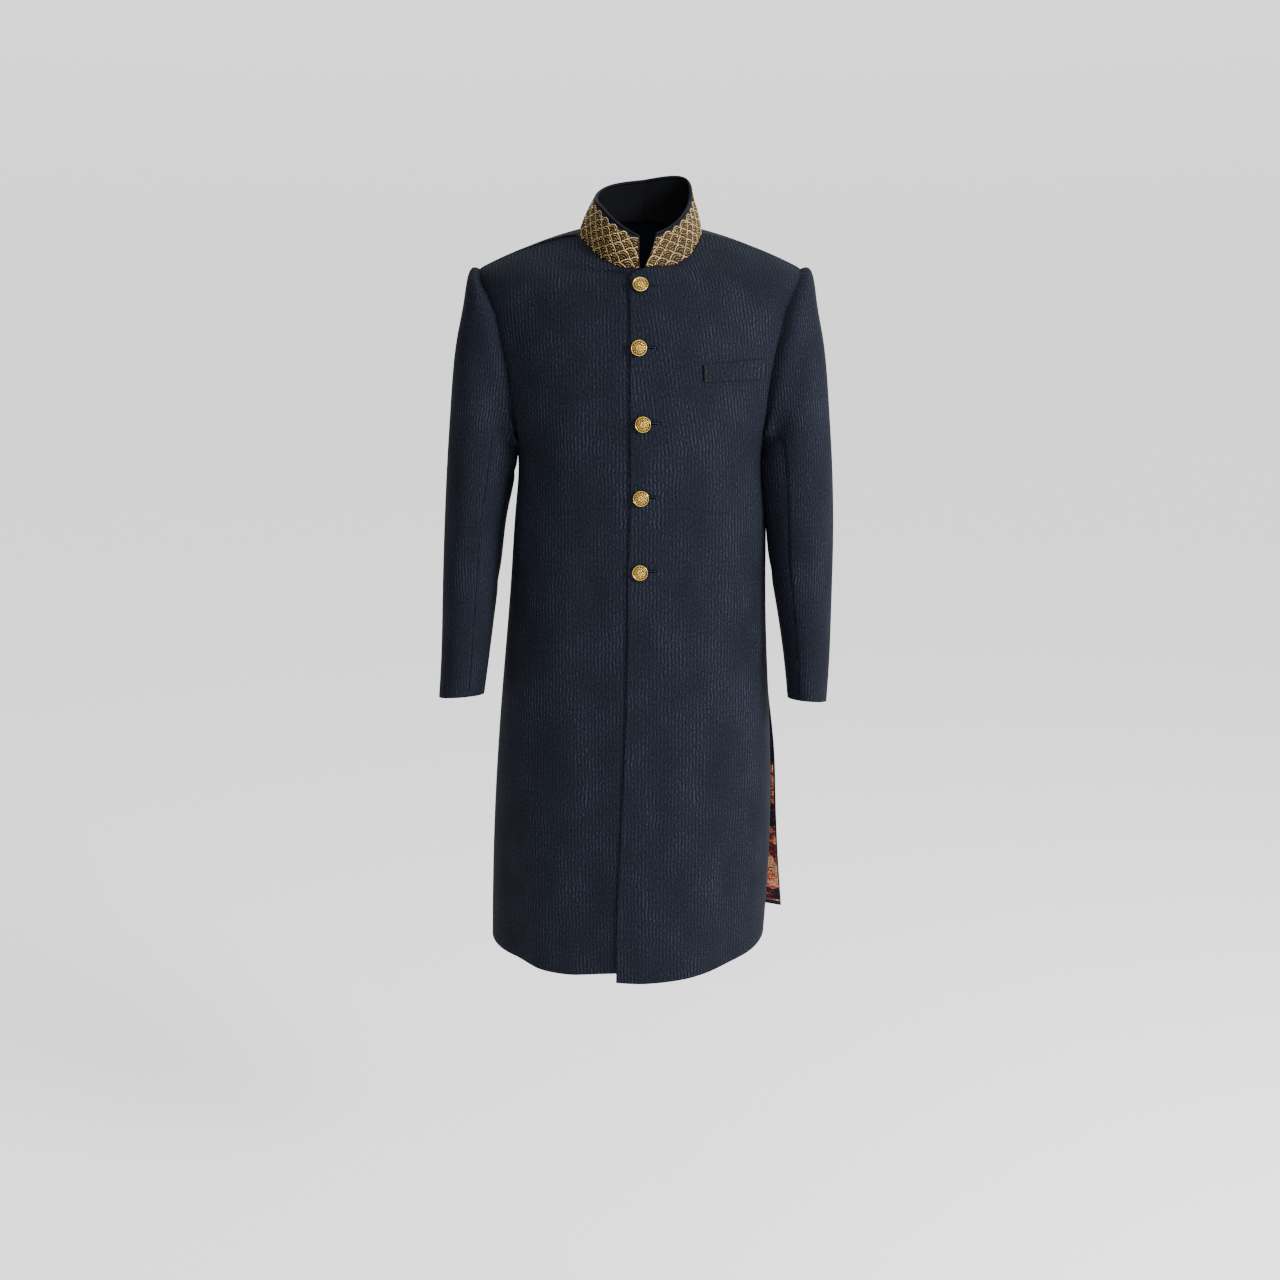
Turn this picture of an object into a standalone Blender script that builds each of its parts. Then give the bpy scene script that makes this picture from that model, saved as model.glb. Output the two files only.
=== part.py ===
"""Sherwani coat in its worn, hollow shape, every cut piece a thin cloth wall of its own.

Metres, +Z up, the coat faces -Y and the wearer's left is +X. The origin is the middle of the
neck opening, where the wearer's shoulders hold the coat up.
"""

import math
from collections import namedtuple

import bpy
import numpy as np
from mathutils import Matrix, Vector

# Cloth and seams
WALL = 0.0024
SEAM_GAP = 0.0004
LAYER_GAP = 0.0007
LINING_WALL = 0.0010

# Grid of each panel
ROWS_A_LEVEL = 2
PANEL_COLUMNS = 12
NECK_ROWS_A_LEVEL = 3
ARM_RINGS = 11
COLLAR_COLUMNS = 36
COLLAR_ROWS = 4
# Straight steps that a smooth curve is read along
CURVE_STEPS = 200
# Edges that bend more than this shade sharp
SHARP_FROM = math.radians(40)
# How a place on the cloth is found: steps taken, and how far apart its slope is read
SEEK_STEPS = 12
SEEK_APART = 0.001

# How the z of a cross-line falls from the centre to the side, as a power of the way along it
DROOP = 1.5

# The coat's cross-lines from hem to shoulder. Each runs from the front or back centre edge (which
# turns into the neckline above the neck level) to the side, as a part of a superellipse.
Level = namedtuple(
    "Level",
    "name front_x front_y front_z back_x back_y back_z "
    "left_x right_x side_y side_z front_round back_round front_turn back_turn",
)
LEVELS = (
    Level("hem", 0, -0.132, -1.073, 0, 0.122, -1.035, 0.2095, 0.2325, 0.025, -1.050, 1.8, 2.2, 90, 90),
    Level("knee", 0, -0.134, -0.965, 0, 0.123, -0.930, 0.2085, 0.2295, 0.024, -0.945, 1.9, 2.2, 90, 90),
    Level("thigh", 0, -0.135, -0.825, 0, 0.122, -0.800, 0.2045, 0.2220, 0.020, -0.810, 2.1, 2.3, 90, 90),
    Level("vent", 0, -0.135, -0.665, 0, 0.116, -0.655, 0.1945, 0.2090, 0.012, -0.658, 2.2, 2.3, 90, 90),
    Level("waist", 0, -0.131, -0.475, 0, 0.092, -0.465, 0.1862, 0.1905, 0.004, -0.470, 2.3, 2.3, 90, 90),
    Level("ribs", 0, -0.135, -0.370, 0, 0.101, -0.365, 0.1835, 0.1820, 0.002, -0.370, 2.3, 2.3, 90, 90),
    Level("underarm", 0, -0.138, -0.278, 0, 0.113, -0.275, 0.1800, 0.1790, 0.000, -0.292, 2.3, 2.3, 90, 90),
    Level("scye", 0, -0.138, -0.232, 0, 0.118, -0.225, 0.1880, 0.1880, -0.002, -0.262, 2.3, 2.3, 70, 72),
    Level("chest", 0, -0.136, -0.180, 0, 0.119, -0.170, 0.1970, 0.1970, -0.002, -0.234, 2.3, 2.3, 65, 65),
    Level("breast", 0, -0.130, -0.132, 0, 0.115, -0.120, 0.2050, 0.2050, -0.002, -0.203, 2.4, 2.4, 63, 61),
    Level("collarbone", 0, -0.115, -0.086, 0, 0.104, -0.065, 0.2135, 0.2135, -0.002, -0.167, 2.6, 2.6, 62, 60),
    Level("neck", 0, -0.0885, -0.041, 0, 0.088, -0.012, 0.2225, 0.2225, -0.001, -0.131, 3.0, 3.0, 60, 58),
    Level("neckline", 0.0413, -0.078, -0.0345, 0, 0.072, 0.030, 0.2270, 0.2270, 0, -0.088, 3.2, 3.2, 64, 62),
    Level("neck_side", 0.0741, -0.042, -0.0136, 0.058, 0.052, 0.026, 0.2296, 0.2296, 0, -0.056, 4.2, 4.2, 74, 73),
    Level("shoulder", 0.0880, 0, 0.0120, 0.0880, 0, 0.0120, 0.2296, 0.2296, 0, -0.036, 4.2, 4.2, 80, 80),
)
NAMES = [level.name for level in LEVELS]
VENT = NAMES.index("vent")
UNDERARM = NAMES.index("underarm")
FRONT_NECK = NAMES.index("neck")
BACK_NECK = NAMES.index("neckline")
SHOULDER = NAMES.index("shoulder")

# Where each panel's side edge hangs at the hem, off the line that front and back share above the
# vent: outward, backward and up
HEM_SWING = {
    "left_front": (-0.0155, -0.008, 0.004),
    "left_back": (0.0180, 0.055, 0.018),
    "right_front": (0.0, -0.006, -0.004),
    "right_back": (-0.008, 0.024, 0.010),
}
SWING_POWER = 1.4
# The back panels' side edges turn outward below the vent, soon at first
BACK_EDGE_TURN = 58
EDGE_TURN_POWER = 0.8
# Straight steps that a cross-line is measured along
LINE_STEPS = 90

# The overlap: the left front's edge lies beyond the centre line, wider towards the hem
Edge = namedtuple("Edge", "level beyond_centre")
OVERLAP_EDGE = (Edge(0, 0.0360), Edge(1, 0.0345), Edge(3, 0.0200), Edge(5, 0.0140), Edge(11, 0.0137))
OVERLAP_CORNER = 0.004
UNDERLAP = 0.032
TUCK_FULL = 0.050
TUCK_END = 0.110
# The underlap's hem is cut shorter towards its hidden edge
UNDERLAP_LIFT = 0.016
LIFT_END = 0.130

# The right front's neck edge lies higher and farther back than the left's: outward, back and up,
# the level it starts from and how far it reaches into the cloth
NECK_SHIFT = (0.0, 0.018, 0.0130)
NECK_SHIFT_FROM = 11.6
NECK_SHIFT_REACH = 0.050

# Largest soft folds: distance from the centre line at the top and the foot, levels it runs
# between, height out of the cloth (negative is a trough) and half width
# A fold runs full below FADE_FROM of its length and dies away above it, FADE_SHIFT along a sine
FADE_FROM = 0.15
FADE_SHIFT = 0.35
Fold = namedtuple("Fold", "panel top_at foot_at top foot rise width")
FOLDS = (
    Fold("right_front", 0.175, 0.150, 4.6, -0.5, 0.0050, 0.026),
    Fold("right_front", 0.215, 0.205, 4.4, -0.5, -0.0030, 0.024),
    Fold("right_front", 0.060, 0.075, 6.4, 3.2, -0.0025, 0.030),
    Fold("left_front", 0.165, 0.150, 5.0, 0.8, -0.0030, 0.030),
    Fold("left_front", 0.085, 0.070, 3.0, -0.5, 0.0025, 0.034),
    Fold("left_back", 0.120, 0.150, 4.2, -0.5, 0.0060, 0.034),
    Fold("right_back", 0.110, 0.140, 4.2, -0.5, 0.0055, 0.034),
    Fold("left_back", 0.060, 0.050, 5.2, 3.4, -0.0030, 0.030),
    Fold("right_back", 0.070, 0.055, 5.0, 3.6, -0.0030, 0.030),
)

# The sleeve's rings from the armhole seam to the cuff: outer and inner points, how far it reaches
# forward and back, and the angles of its two seams (0 is outward, 90 forward, 180 inward)
Ring = namedtuple(
    "Ring",
    "name left_outer right_outer outer_z left_inner right_inner inner_z "
    "front_y back_y front_rise front_seam back_seam",
)
RINGS = (
    Ring("seam", 0.2285, 0.2285, -0.036, 0.1800, 0.1790, -0.292, -0.066, 0.064, 0, 160, -112),
    Ring("rope", 0.2385, 0.2375, -0.034, 0.1828, 0.1828, -0.2915, -0.072, 0.070, 0, 150, -110),
    Ring("cap", 0.2520, 0.2510, -0.073, 0.1845, 0.1845, -0.2935, -0.077, 0.074, 0, 135, -108),
    Ring("upper", 0.2625, 0.2625, -0.133, 0.1842, 0.1840, -0.3000, -0.079, 0.075, 0, 120, -106),
    Ring("biceps", 0.2725, 0.2730, -0.220, 0.1822, 0.1822, -0.3180, -0.080, 0.073, 0, 110, -105),
    Ring("arm", 0.2795, 0.2805, -0.310, 0.1838, 0.1872, -0.3520, -0.080, 0.068, 0, 107, -105),
    Ring("above_elbow", 0.2830, 0.2855, -0.385, 0.1856, 0.1965, -0.395, -0.079, 0.062, 0, 107, -105),
    Ring("elbow", 0.2835, 0.2885, -0.445, 0.1892, 0.2030, -0.445, -0.080, 0.055, 0.002, 108, -105),
    Ring("forearm", 0.2820, 0.2910, -0.520, 0.2015, 0.2130, -0.520, -0.085, 0.041, 0.004, 110, -106),
    Ring("lower", 0.2795, 0.2935, -0.600, 0.2135, 0.2235, -0.600, -0.091, 0.022, 0.006, 113, -107),
    Ring("cuff", 0.2755, 0.2970, -0.660, 0.2190, 0.2310, -0.656, -0.096, 0.004, 0.008, 116, -108),
)
SLEEVE_ROUND = 2.2
SLEEVE_RADIUS = 0.05
SEAM_STEP = 2
SEAM_BLEND = 0.060
# Rings of the sleeve head, as distances from the armhole seam
HEAD_PLACES = (0, 0.005, 0.011, 0.019, 0.030, 0.045, 0.065, 0.090)
LEFT_SEAM_TURN = 9
RIGHT_CUFF_LIFT = 0.006

# The collar's top edge, half of it from front to back, and its ends at the front
Rim = namedtuple("Rim", "name left_x right_x y left_z right_z")
COLLAR_TOP = (
    Rim("front", 0.0, 0.0, -0.0770, 0.0050, 0.0010),
    Rim("front_quarter", 0.0405, 0.0345, -0.0650, 0.0140, 0.0215),
    Rim("side_front", 0.0640, 0.0560, -0.0350, 0.0355, 0.0430),
    Rim("side", 0.0730, 0.0655, 0.0, 0.0540, 0.0575),
    Rim("side_back", 0.0680, 0.0500, 0.0440, 0.0860, 0.0760),
    Rim("back", 0.0060, 0.0060, 0.0640, 0.0860, 0.0860),
)
COLLAR_BASE_ENDS = {"right": -0.0005, "left": 0.0065}
COLLAR_TOP_ENDS = {"right": -0.0005, "left": 0.0215}
COLLAR_BULGE = 0.0025
BAND_WALL = 0.0022
STAND_WALL = 0.0018
COLLAR_GAP = 0.0004
# The collar clears the neck edge, a little more at its front
COLLAR_LIFT = 0.0008
FRONT_LIFT = 0.0014
FRONT_LIFT_END = 0.25
PIPING_HEIGHT = 0.0052
PIPING_PROUD = 0.0006
PIPING_SIDES = 8

# The welt of the chest pocket, on the left front: its corners as x and z
WELT_CORNERS = ((0.0870, -0.1915), (0.1730, -0.1875), (0.1740, -0.1610), (0.0860, -0.1680))
WELT_WALL = 0.0018
WELT_COLUMNS = 8
WELT_ROWS = 3

# Buttons, from the top: their places on the left front
Button = namedtuple("Button", "x z")
BUTTONS = (
    Button(0.0005, -0.0625),
    Button(-0.0013, -0.1455),
    Button(0.0040, -0.2475),
    Button(0.0013, -0.3490),
    Button(0.0, -0.4535),
)
BUTTON_STEPS = 20
BUTTON_PROFILE = (
    (0.0, 0.0058), (0.0050, 0.0055), (0.0086, 0.0046), (0.0092, 0.0050), (0.0104, 0.0048),
    (0.0110, 0.0036), (0.0104, 0.0024), (0.0040, 0.0016), (0.0034, 0.0), (0.0, 0.0),
)

# Back skirt lining
LINING_TOP_ROW = 7
LINING_HEM = 0.22
LINING_SIDE = 0.12

NAVY = (0.018, 0.022, 0.034)
GOLD_THREAD = (0.46, 0.32, 0.12)
GOLD_METAL = (0.80, 0.60, 0.25)
PRINT_RED = (0.34, 0.09, 0.05)


def spline(keys, values, at):
    """Natural cubic curve through the rows of a table."""
    keys = np.asarray(keys, float)
    values = np.asarray(values, float)
    at = np.clip(np.asarray(at, float), keys[0], keys[-1])
    gaps = np.diff(keys)
    left = np.eye(len(keys))
    right = np.zeros(values.shape)
    for i in range(1, len(keys) - 1):
        left[i, i - 1:i + 2] = gaps[i - 1], 2 * (gaps[i - 1] + gaps[i]), gaps[i]
        rise = (values[i + 1] - values[i]) / gaps[i]
        right[i] = 6 * (rise - (values[i] - values[i - 1]) / gaps[i - 1])
    bend = np.linalg.solve(left, right)
    i = np.clip(np.searchsorted(keys, at) - 1, 0, len(keys) - 2)
    step = gaps[i][..., None]
    b = (at - keys[i])[..., None] / step
    a = 1 - b
    return (
        a * values[i]
        + b * values[i + 1]
        + ((a**3 - a) * bend[i] + (b**3 - b) * bend[i + 1]) * step**2 / 6
    )


def level_keys():
    """How far up the cloth each level lies, as the mean of the front, back and side."""
    corners = np.array(
        [
            [(l.front_x, l.front_y, l.front_z), (l.back_x, l.back_y, l.back_z), (l.left_x, l.side_y, l.side_z)]
            for l in LEVELS
        ]
    )
    steps = np.linalg.norm(np.diff(corners, axis=0), axis=2).mean(axis=1)
    return np.concatenate([[0], np.cumsum(steps)])


KEYS = level_keys()
TABLE = np.array([level[1:] for level in LEVELS], float)


def level_at(up):
    """The table's row at a place between two levels."""
    key = np.interp(up, np.arange(len(KEYS)), KEYS)
    row = spline(KEYS, TABLE, [key])[0]
    level = Level("", *row)
    # Below the neckline the centre edges stay on the centre line
    level = level._replace(
        front_x=max(0.0, level.front_x) if up > FRONT_NECK else 0.0,
        back_x=max(0.0, level.back_x) if up > BACK_NECK else 0.0,
    )
    # The trims keep their corner at the underarm
    turns = {
        name: np.interp(up, np.arange(len(LEVELS)), [getattr(l, name) for l in LEVELS])
        for name in ("front_turn", "back_turn")
    }
    for name, turn in turns.items():
        if UNDERARM < up < UNDERARM + 1:
            full = getattr(LEVELS[UNDERARM], name)
            end = getattr(LEVELS[UNDERARM + 1], name)
            turns[name] = full + (end - full) * math.sqrt(up - UNDERARM)
    return level._replace(**turns)


def cross_line(panel, up):
    """One cross-line of a panel's half as (plan distance, points), x outward from the centre."""
    row = level_at(up)
    front = panel.endswith("front")
    centre = np.array([row.front_x, row.front_y, row.front_z] if front else [row.back_x, row.back_y, row.back_z])
    side = np.array([row.left_x if panel.startswith("left") else row.right_x, row.side_y, row.side_z])
    below_vent = max(0.0, 1 - up / VENT)
    side = side + np.array(HEM_SWING[panel]) * below_vent**SWING_POWER
    turn = row.front_turn if front else row.back_turn
    if not front:
        turn = turn - (90 - BACK_EDGE_TURN) * below_vent**EDGE_TURN_POWER
    turn = math.radians(min(90.0, turn))
    power = 2 / (row.front_round if front else row.back_round)
    angle = np.linspace(0, math.pi / 2, LINE_STEPS)
    x = centre[0] + (side[0] - centre[0]) * np.sin(angle) ** power
    y = side[1] + (centre[1] - side[1]) * np.abs(np.cos(angle)) ** power
    walk = np.concatenate([[0], np.cumsum(np.hypot(np.diff(x), np.diff(y)))])
    z = centre[2] + (side[2] - centre[2]) * (walk / walk[-1]) ** DROOP
    end = np.interp(turn, angle, walk)
    points = np.stack([x, y, z], axis=1)
    if below_vent and not front:
        # A turned edge still ends at the side point
        reached = np.array([np.interp(end, walk, points[:, k]) for k in range(3)])
        points = points + (side - reached) * (walk / end)[:, None] ** 2
    return walk, points, end


def read_line(line, at):
    walk, points, _ = line
    return np.stack([np.interp(at, walk, points[:, k]) for k in range(3)], axis=1)


def other_half(panel):
    side, kind = panel.split("_")
    return ("right_" if side == "left" else "left_") + kind


def panel_row(panel, up, at):
    """Points of a panel at plan distances from the centre line, negative beyond it."""
    sign = 1 if panel.startswith("left") else -1
    own = read_line(cross_line(panel, up), np.maximum(at, 0))
    if (at >= 0).all():
        return own * (sign, 1, 1)
    beyond = read_line(cross_line(other_half(panel), up), np.maximum(-at, 0))
    return np.where((at < 0)[:, None], beyond * (-sign, 1, 1), own * (sign, 1, 1))


def smooth_step(value, start, end):
    t = np.clip((value - start) / (end - start), 0, 1)
    return t * t * (3 - 2 * t)


def beyond_centre(panel, up):
    """How far a front reaches past the centre line at this height."""
    if up > FRONT_NECK or panel.endswith("back"):
        return 0.0
    if panel == "right_front":
        return UNDERLAP
    reach = float(np.interp(up, [e.level for e in OVERLAP_EDGE], [e.beyond_centre for e in OVERLAP_EDGE]))
    return reach - (OVERLAP_CORNER if up == FRONT_NECK else 0.0)


def neck_shift(up):
    """How far the right front's neck edge is moved at this height."""
    along = np.clip((up - NECK_SHIFT_FROM) / (SHOULDER - NECK_SHIFT_FROM), 0, 1)
    return np.array(NECK_SHIFT) * math.sin(math.pi * along)


def fold_rise(panel, up, at):
    rise = np.zeros_like(at)
    for fold in FOLDS:
        if fold.panel != panel:
            continue
        along = np.clip((up - fold.foot) / (fold.top - fold.foot), 0, 1)
        middle = fold.foot_at + (fold.top_at - fold.foot_at) * along
        fade = math.sin(math.pi * min(1.0, along + FADE_SHIFT)) ** 2 if along > FADE_FROM else 1.0
        fade = fade if up < fold.top else 0.0
        rise += fold.rise * fade * np.exp(-(((at - middle) / fold.width) ** 2))
    return rise


def panel_ups():
    """The heights of the grid's rows, closer together round the neck."""
    body = np.linspace(0, FRONT_NECK, FRONT_NECK * ROWS_A_LEVEL + 1)
    neck = np.linspace(FRONT_NECK, SHOULDER, (SHOULDER - FRONT_NECK) * NECK_ROWS_A_LEVEL + 1)
    return np.concatenate([body, neck[1:]])


def grid_normals(grid, sign):
    across = np.gradient(grid, axis=1)
    upward = np.gradient(grid, axis=0)
    normals = np.cross(across, upward) * sign
    return normals / np.linalg.norm(normals, axis=2, keepdims=True)


def panel_grid(panel):
    """Outer points and outward normals of a panel, rows from the hem up, columns from its centre edge."""
    front = panel.endswith("front")
    ups = panel_ups()
    centre_gap = 0.0 if front else SEAM_GAP / 2
    rows = []
    rises = []
    for up in ups:
        end = cross_line(panel, up)[2] - SEAM_GAP / 2
        start = centre_gap - beyond_centre(panel, up)
        at = np.linspace(start, end, PANEL_COLUMNS + 1)
        row = panel_row(panel, up, at)
        if panel == "right_front":
            lift = UNDERLAP_LIFT * (1 - smooth_step(at, 0, LIFT_END)) * max(0.0, 1 - up)
            row[:, 2] += lift
            row += np.exp(-((at / NECK_SHIFT_REACH) ** 2))[:, None] * neck_shift(up)
        rows.append(row)
        tuck = 0.0
        if panel == "right_front":
            tuck = -(WALL + LAYER_GAP) * (1 - smooth_step(at, TUCK_FULL, TUCK_END))
        rises.append(fold_rise(panel, up, at) + tuck)
    grid = np.array(rows)
    sign = (1 if panel.startswith("left") else -1) * (1 if front else -1)
    normals = grid_normals(grid, sign)
    if not front:
        normals[ups <= BACK_NECK, 0, 0] = 0
    # Along a seam both panels' walls stand square to it
    seamed = (ups >= VENT) & (ups <= UNDERARM)
    edge = np.gradient(grid[:, -1], axis=0)
    outward = np.stack([edge[:, 2], 0 * edge[:, 1], -edge[:, 0]], axis=1) * np.sign(grid[0, -1, 0])
    normals[seamed, -1] = outward[seamed]
    normals /= np.linalg.norm(normals, axis=2, keepdims=True)
    along = np.gradient(grid[-1], axis=0)
    ridge = np.stack([-along[:, 2], 0 * along[:, 0], along[:, 0]], axis=1) * np.sign(grid[-1, -1, 0])
    normals[-1] = ridge / np.linalg.norm(ridge, axis=1, keepdims=True)
    grid = grid + normals * np.array(rises)[..., None]
    # Half the shoulder seam's gap, off the ridge
    grid[-1, :, 1] += (-1 if front else 1) * SEAM_GAP / 2
    return grid, normals


def fold(points, ring):
    """The corners of a four-sided face, turned so that it folds along its shorter diagonal."""
    first, second, third, fourth = points[ring]
    if np.linalg.norm(first - third) > np.linalg.norm(second - fourth):
        return ring[1:] + ring[:1]
    return ring


def shell(name, outer, inner, material):
    """A closed wall between two grids of points."""
    rows, columns = outer.shape[:2]
    points = np.concatenate([outer.reshape(-1, 3), inner.reshape(-1, 3)])
    count = rows * columns
    rings = []
    for i in range(rows - 1):
        for j in range(columns - 1):
            start = i * columns + j
            a, b, c, d = fold(points, [start, start + 1, start + columns + 1, start + columns])
            rings += [(a, b, c, d), (a + count, d + count, c + count, b + count)]
    border = [i * columns for i in range(rows - 1, 0, -1)]
    border += list(range(columns - 1))
    border += [(i + 1) * columns - 1 for i in range(rows - 1)]
    border += list(range(count - 1, count - columns, -1))
    for a, b in zip(border, border[1:] + border[:1]):
        rings.append(fold(points, [b, a, a + count, b + count]))
    faces = [face for a, b, c, d in rings for face in ((a, b, c), (a, c, d))]
    add_mesh(name, points, faces, material)


def add_mesh(name, points, faces, material):
    """An object of these faces, turned to face out."""
    mesh = bpy.data.meshes.new(name)
    mesh.from_pydata(points.tolist(), [], faces)
    fans = np.array([(f[0], f[k], f[k + 1]) for f in faces for k in range(1, len(f) - 1)])
    if np.linalg.det(points[fans]).sum() < 0:
        mesh.flip_normals()
    mesh.materials.append(material)
    mesh.shade_smooth()
    mesh.set_sharp_from_angle(angle=SHARP_FROM)
    COLLECTION.objects.link(bpy.data.objects.new(name, mesh))


def make_material(name, colour, roughness, metallic=0.0):
    material = bpy.data.materials.new(name)
    material.use_nodes = True
    shader = material.node_tree.nodes["Principled BSDF"]
    shader.inputs["Base Color"].default_value = (*colour, 1.0)
    shader.inputs["Roughness"].default_value = roughness
    shader.inputs["Metallic"].default_value = metallic
    return material


def make_panel(panel, material):
    outer, normals = GRIDS[panel]
    shell(panel, outer, outer - normals * WALL, material)


def armhole(side):
    """The armhole's loop from the shoulder down the front, round the underarm and up the back:
    points, outward normals of the cloth there, and the direction out of the armhole."""
    edges = []
    for kind in ("front", "back"):
        grid, normals = (values[panel_ups() >= UNDERARM] for values in GRIDS[f"{side}_{kind}"])
        # Out of the armhole is square to its edge
        out = np.cross(np.gradient(grid[:, -1], axis=0), normals[:, -1])
        out *= np.sign((out * (grid[:, -1] - grid[:, -2])).sum(axis=1, keepdims=True))
        out /= np.linalg.norm(out, axis=1, keepdims=True)
        edges.append((grid[:, -1], normals[:, -1], out))
    loop = []
    # One point stands for both panels at the shoulder and at the underarm
    for front, back in zip(*edges):
        top, low = (front[-1] + back[-1]) / 2, (front[0] + back[0]) / 2
        loop.append(np.concatenate([[top], front[-2:0:-1], [low], back[1:-1], [top]]))
    return loop


def loop_angles(points):
    """The sleeve's angle at each point of the armhole, 0 at the shoulder and 180 at the underarm."""
    steps = np.concatenate([[0], np.cumsum(np.linalg.norm(np.diff(points, axis=0), axis=1))])
    low = len(points) // 2
    front = 180 * steps[: low + 1] / steps[low]
    back = 180 + 180 * (steps[low:] - steps[low]) / (steps[-1] - steps[low])
    return np.concatenate([front, back[1:]])


def ring_table(side):
    return np.array(
        [
            (getattr(r, side + "_outer"), r.outer_z, getattr(r, side + "_inner"), r.inner_z)
            + (r.front_y, r.back_y, r.front_rise, r.front_seam, r.back_seam)
            for r in RINGS
        ],
        float,
    )


def ring_points(sizes, angle, sign):
    """An oval ring: its long axis from the inner to the outer point, its short one front to back."""
    outer_x, outer_z, inner_x, inner_z, front_y, back_y, rise = sizes[:7]
    turn = np.radians(angle)
    out = np.sign(np.cos(turn)) * np.abs(np.cos(turn)) ** (2 / SLEEVE_ROUND)
    forward = np.sign(np.sin(turn)) * np.abs(np.sin(turn)) ** (2 / SLEEVE_ROUND)
    x = (outer_x + inner_x) / 2 + (outer_x - inner_x) / 2 * out
    z = (outer_z + inner_z) / 2 + (outer_z - inner_z) / 2 * out + rise * forward
    y = (front_y + back_y) / 2 + (front_y - back_y) / 2 * forward
    return np.stack([sign * x, y, z], axis=1)


def sleeve_grid(side, part):
    """Outer points and normals of a part of the sleeve, rings from the armhole down."""
    sign = 1 if side == "left" else -1
    table = ring_table(side)
    table[:, -2] += LEFT_SEAM_TURN if side == "left" else 0
    middle = (table[:, 0:2] + table[:, 2:4]) / 2
    keys = np.concatenate([[0], np.cumsum(np.linalg.norm(np.diff(middle, axis=0), axis=1))])
    places = np.concatenate([HEAD_PLACES, np.linspace(HEAD_PLACES[-1], keys[-1], ARM_RINGS + 1)[1:]])
    loop = armhole(side)
    angles = loop_angles(loop[0])
    seam = math.degrees(SEAM_GAP / 2 / SLEEVE_RADIUS)

    def seams(sizes):
        front, back = sizes[-2:]
        return (back + seam, front - seam) if part == "top" else (front + seam, 360 + back - seam)

    def edge_at(angle):
        turned = np.mod(angle, 360)
        return [
            np.stack([np.interp(turned, angles, values[:, k]) for k in range(3)], axis=1)
            for values in loop
        ]

    # A column starts at each point of the armhole, and the two edges follow the sleeve's seams;
    # helper columns on both sides of each edge keep the two parts' walls parallel there
    start, end = seams(table[0])
    turned = np.concatenate([angles - 360, angles[1:]])
    inside = turned[(turned > start + SEAM_STEP) & (turned < end - SEAM_STEP)]
    by_edge = np.array([-SEAM_STEP, 0, SEAM_STEP])
    columns = np.concatenate([start + by_edge, inside, end + by_edge])
    shares = (columns - start) / (end - start)
    edge, seam_normals, away = edge_at(columns)
    rings = [edge + away * SEAM_GAP]
    for place in places[1:]:
        sizes = spline(keys, table, [place])[0]
        if side == "right":
            sizes[[1, 3]] += RIGHT_CUFF_LIFT * (place / keys[-1]) ** 2
        start, end = seams(sizes)
        angle = start + shares * (end - start)
        lean = edge_at(angle)[0] - ring_points(table[0], angle, sign)
        rings.append(ring_points(sizes, angle, sign) + lean * (1 - smooth_step(place, 0, SEAM_BLEND)))
    grid = np.array(rings)
    normals = grid_normals(grid, sign)
    normals[0] = seam_normals
    kept = np.delete(np.arange(len(columns)), [0, 2, -3, -1])
    return grid[:, kept], normals[:, kept]


def make_sleeve(side, material):
    for part in ("top", "under"):
        grid, normals = sleeve_grid(side, part)
        shell(f"{side}_{part}_sleeve", grid, grid - normals * WALL, material)


def neckline(side):
    """The neckline's edge from the collar's front end to the back centre, one half."""
    before, after = GRIDS["left_front"][0][panel_ups() >= FRONT_NECK, 0][:2]
    start = before + (after - before) * before[0] / (before[0] - after[0])
    front = GRIDS[side + "_front"][0][panel_ups() > FRONT_NECK, 0]
    back = GRIDS[side + "_back"][0][panel_ups() >= BACK_NECK, 0]
    edge = np.concatenate([[start], front, back[-2::-1]])
    edge[-1, 0] = 0.0
    end, reach = abs(COLLAR_BASE_ENDS[side]), np.abs(edge[:, 0])
    first = int(np.argmax(reach > end))
    edge[first - 1] += (edge[first] - edge[first - 1]) * (end - reach[first - 1]) / (reach[first] - reach[first - 1])
    return edge[first - 1:]


def lengths_along(points):
    steps = np.concatenate([[0], np.cumsum(np.linalg.norm(np.diff(points, axis=0), axis=1))])
    return steps / steps[-1]


def along_line(points, share):
    """Points at shares of the length of a run of straight lines."""
    return np.stack([np.interp(share, lengths_along(points), points[:, k]) for k in range(3)], axis=1)


def along_curve(points, share):
    return along_line(spline(lengths_along(points), points, np.linspace(0, 1, CURVE_STEPS)), share)


def collar_rails():
    """The collar's base and top edge, from its right end round the back to its left end."""
    share = np.linspace(0, 1, COLLAR_COLUMNS // 2 + 1)
    halves = {}
    for side, sign in (("right", -1), ("left", 1)):
        rims = np.array([(sign * getattr(r, side + "_x"), r.y, getattr(r, side + "_z")) for r in COLLAR_TOP])
        rims[0, 0] = COLLAR_TOP_ENDS[side]
        rims[-1, 0] *= sign
        halves[side] = along_line(neckline(side), share), along_curve(rims, share)
    base, top = (np.concatenate([right, left[::-1][1:]]) for right, left in zip(halves["right"], halves["left"]))
    rise = top - base
    rise /= np.linalg.norm(rise, axis=1, keepdims=True)
    from_front = 1 - np.abs(np.linspace(-1, 1, COLLAR_COLUMNS + 1))
    lift = COLLAR_LIFT + FRONT_LIFT * (1 - smooth_step(from_front, 0, FRONT_LIFT_END))
    return base + rise * lift[:, None], top


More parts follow.
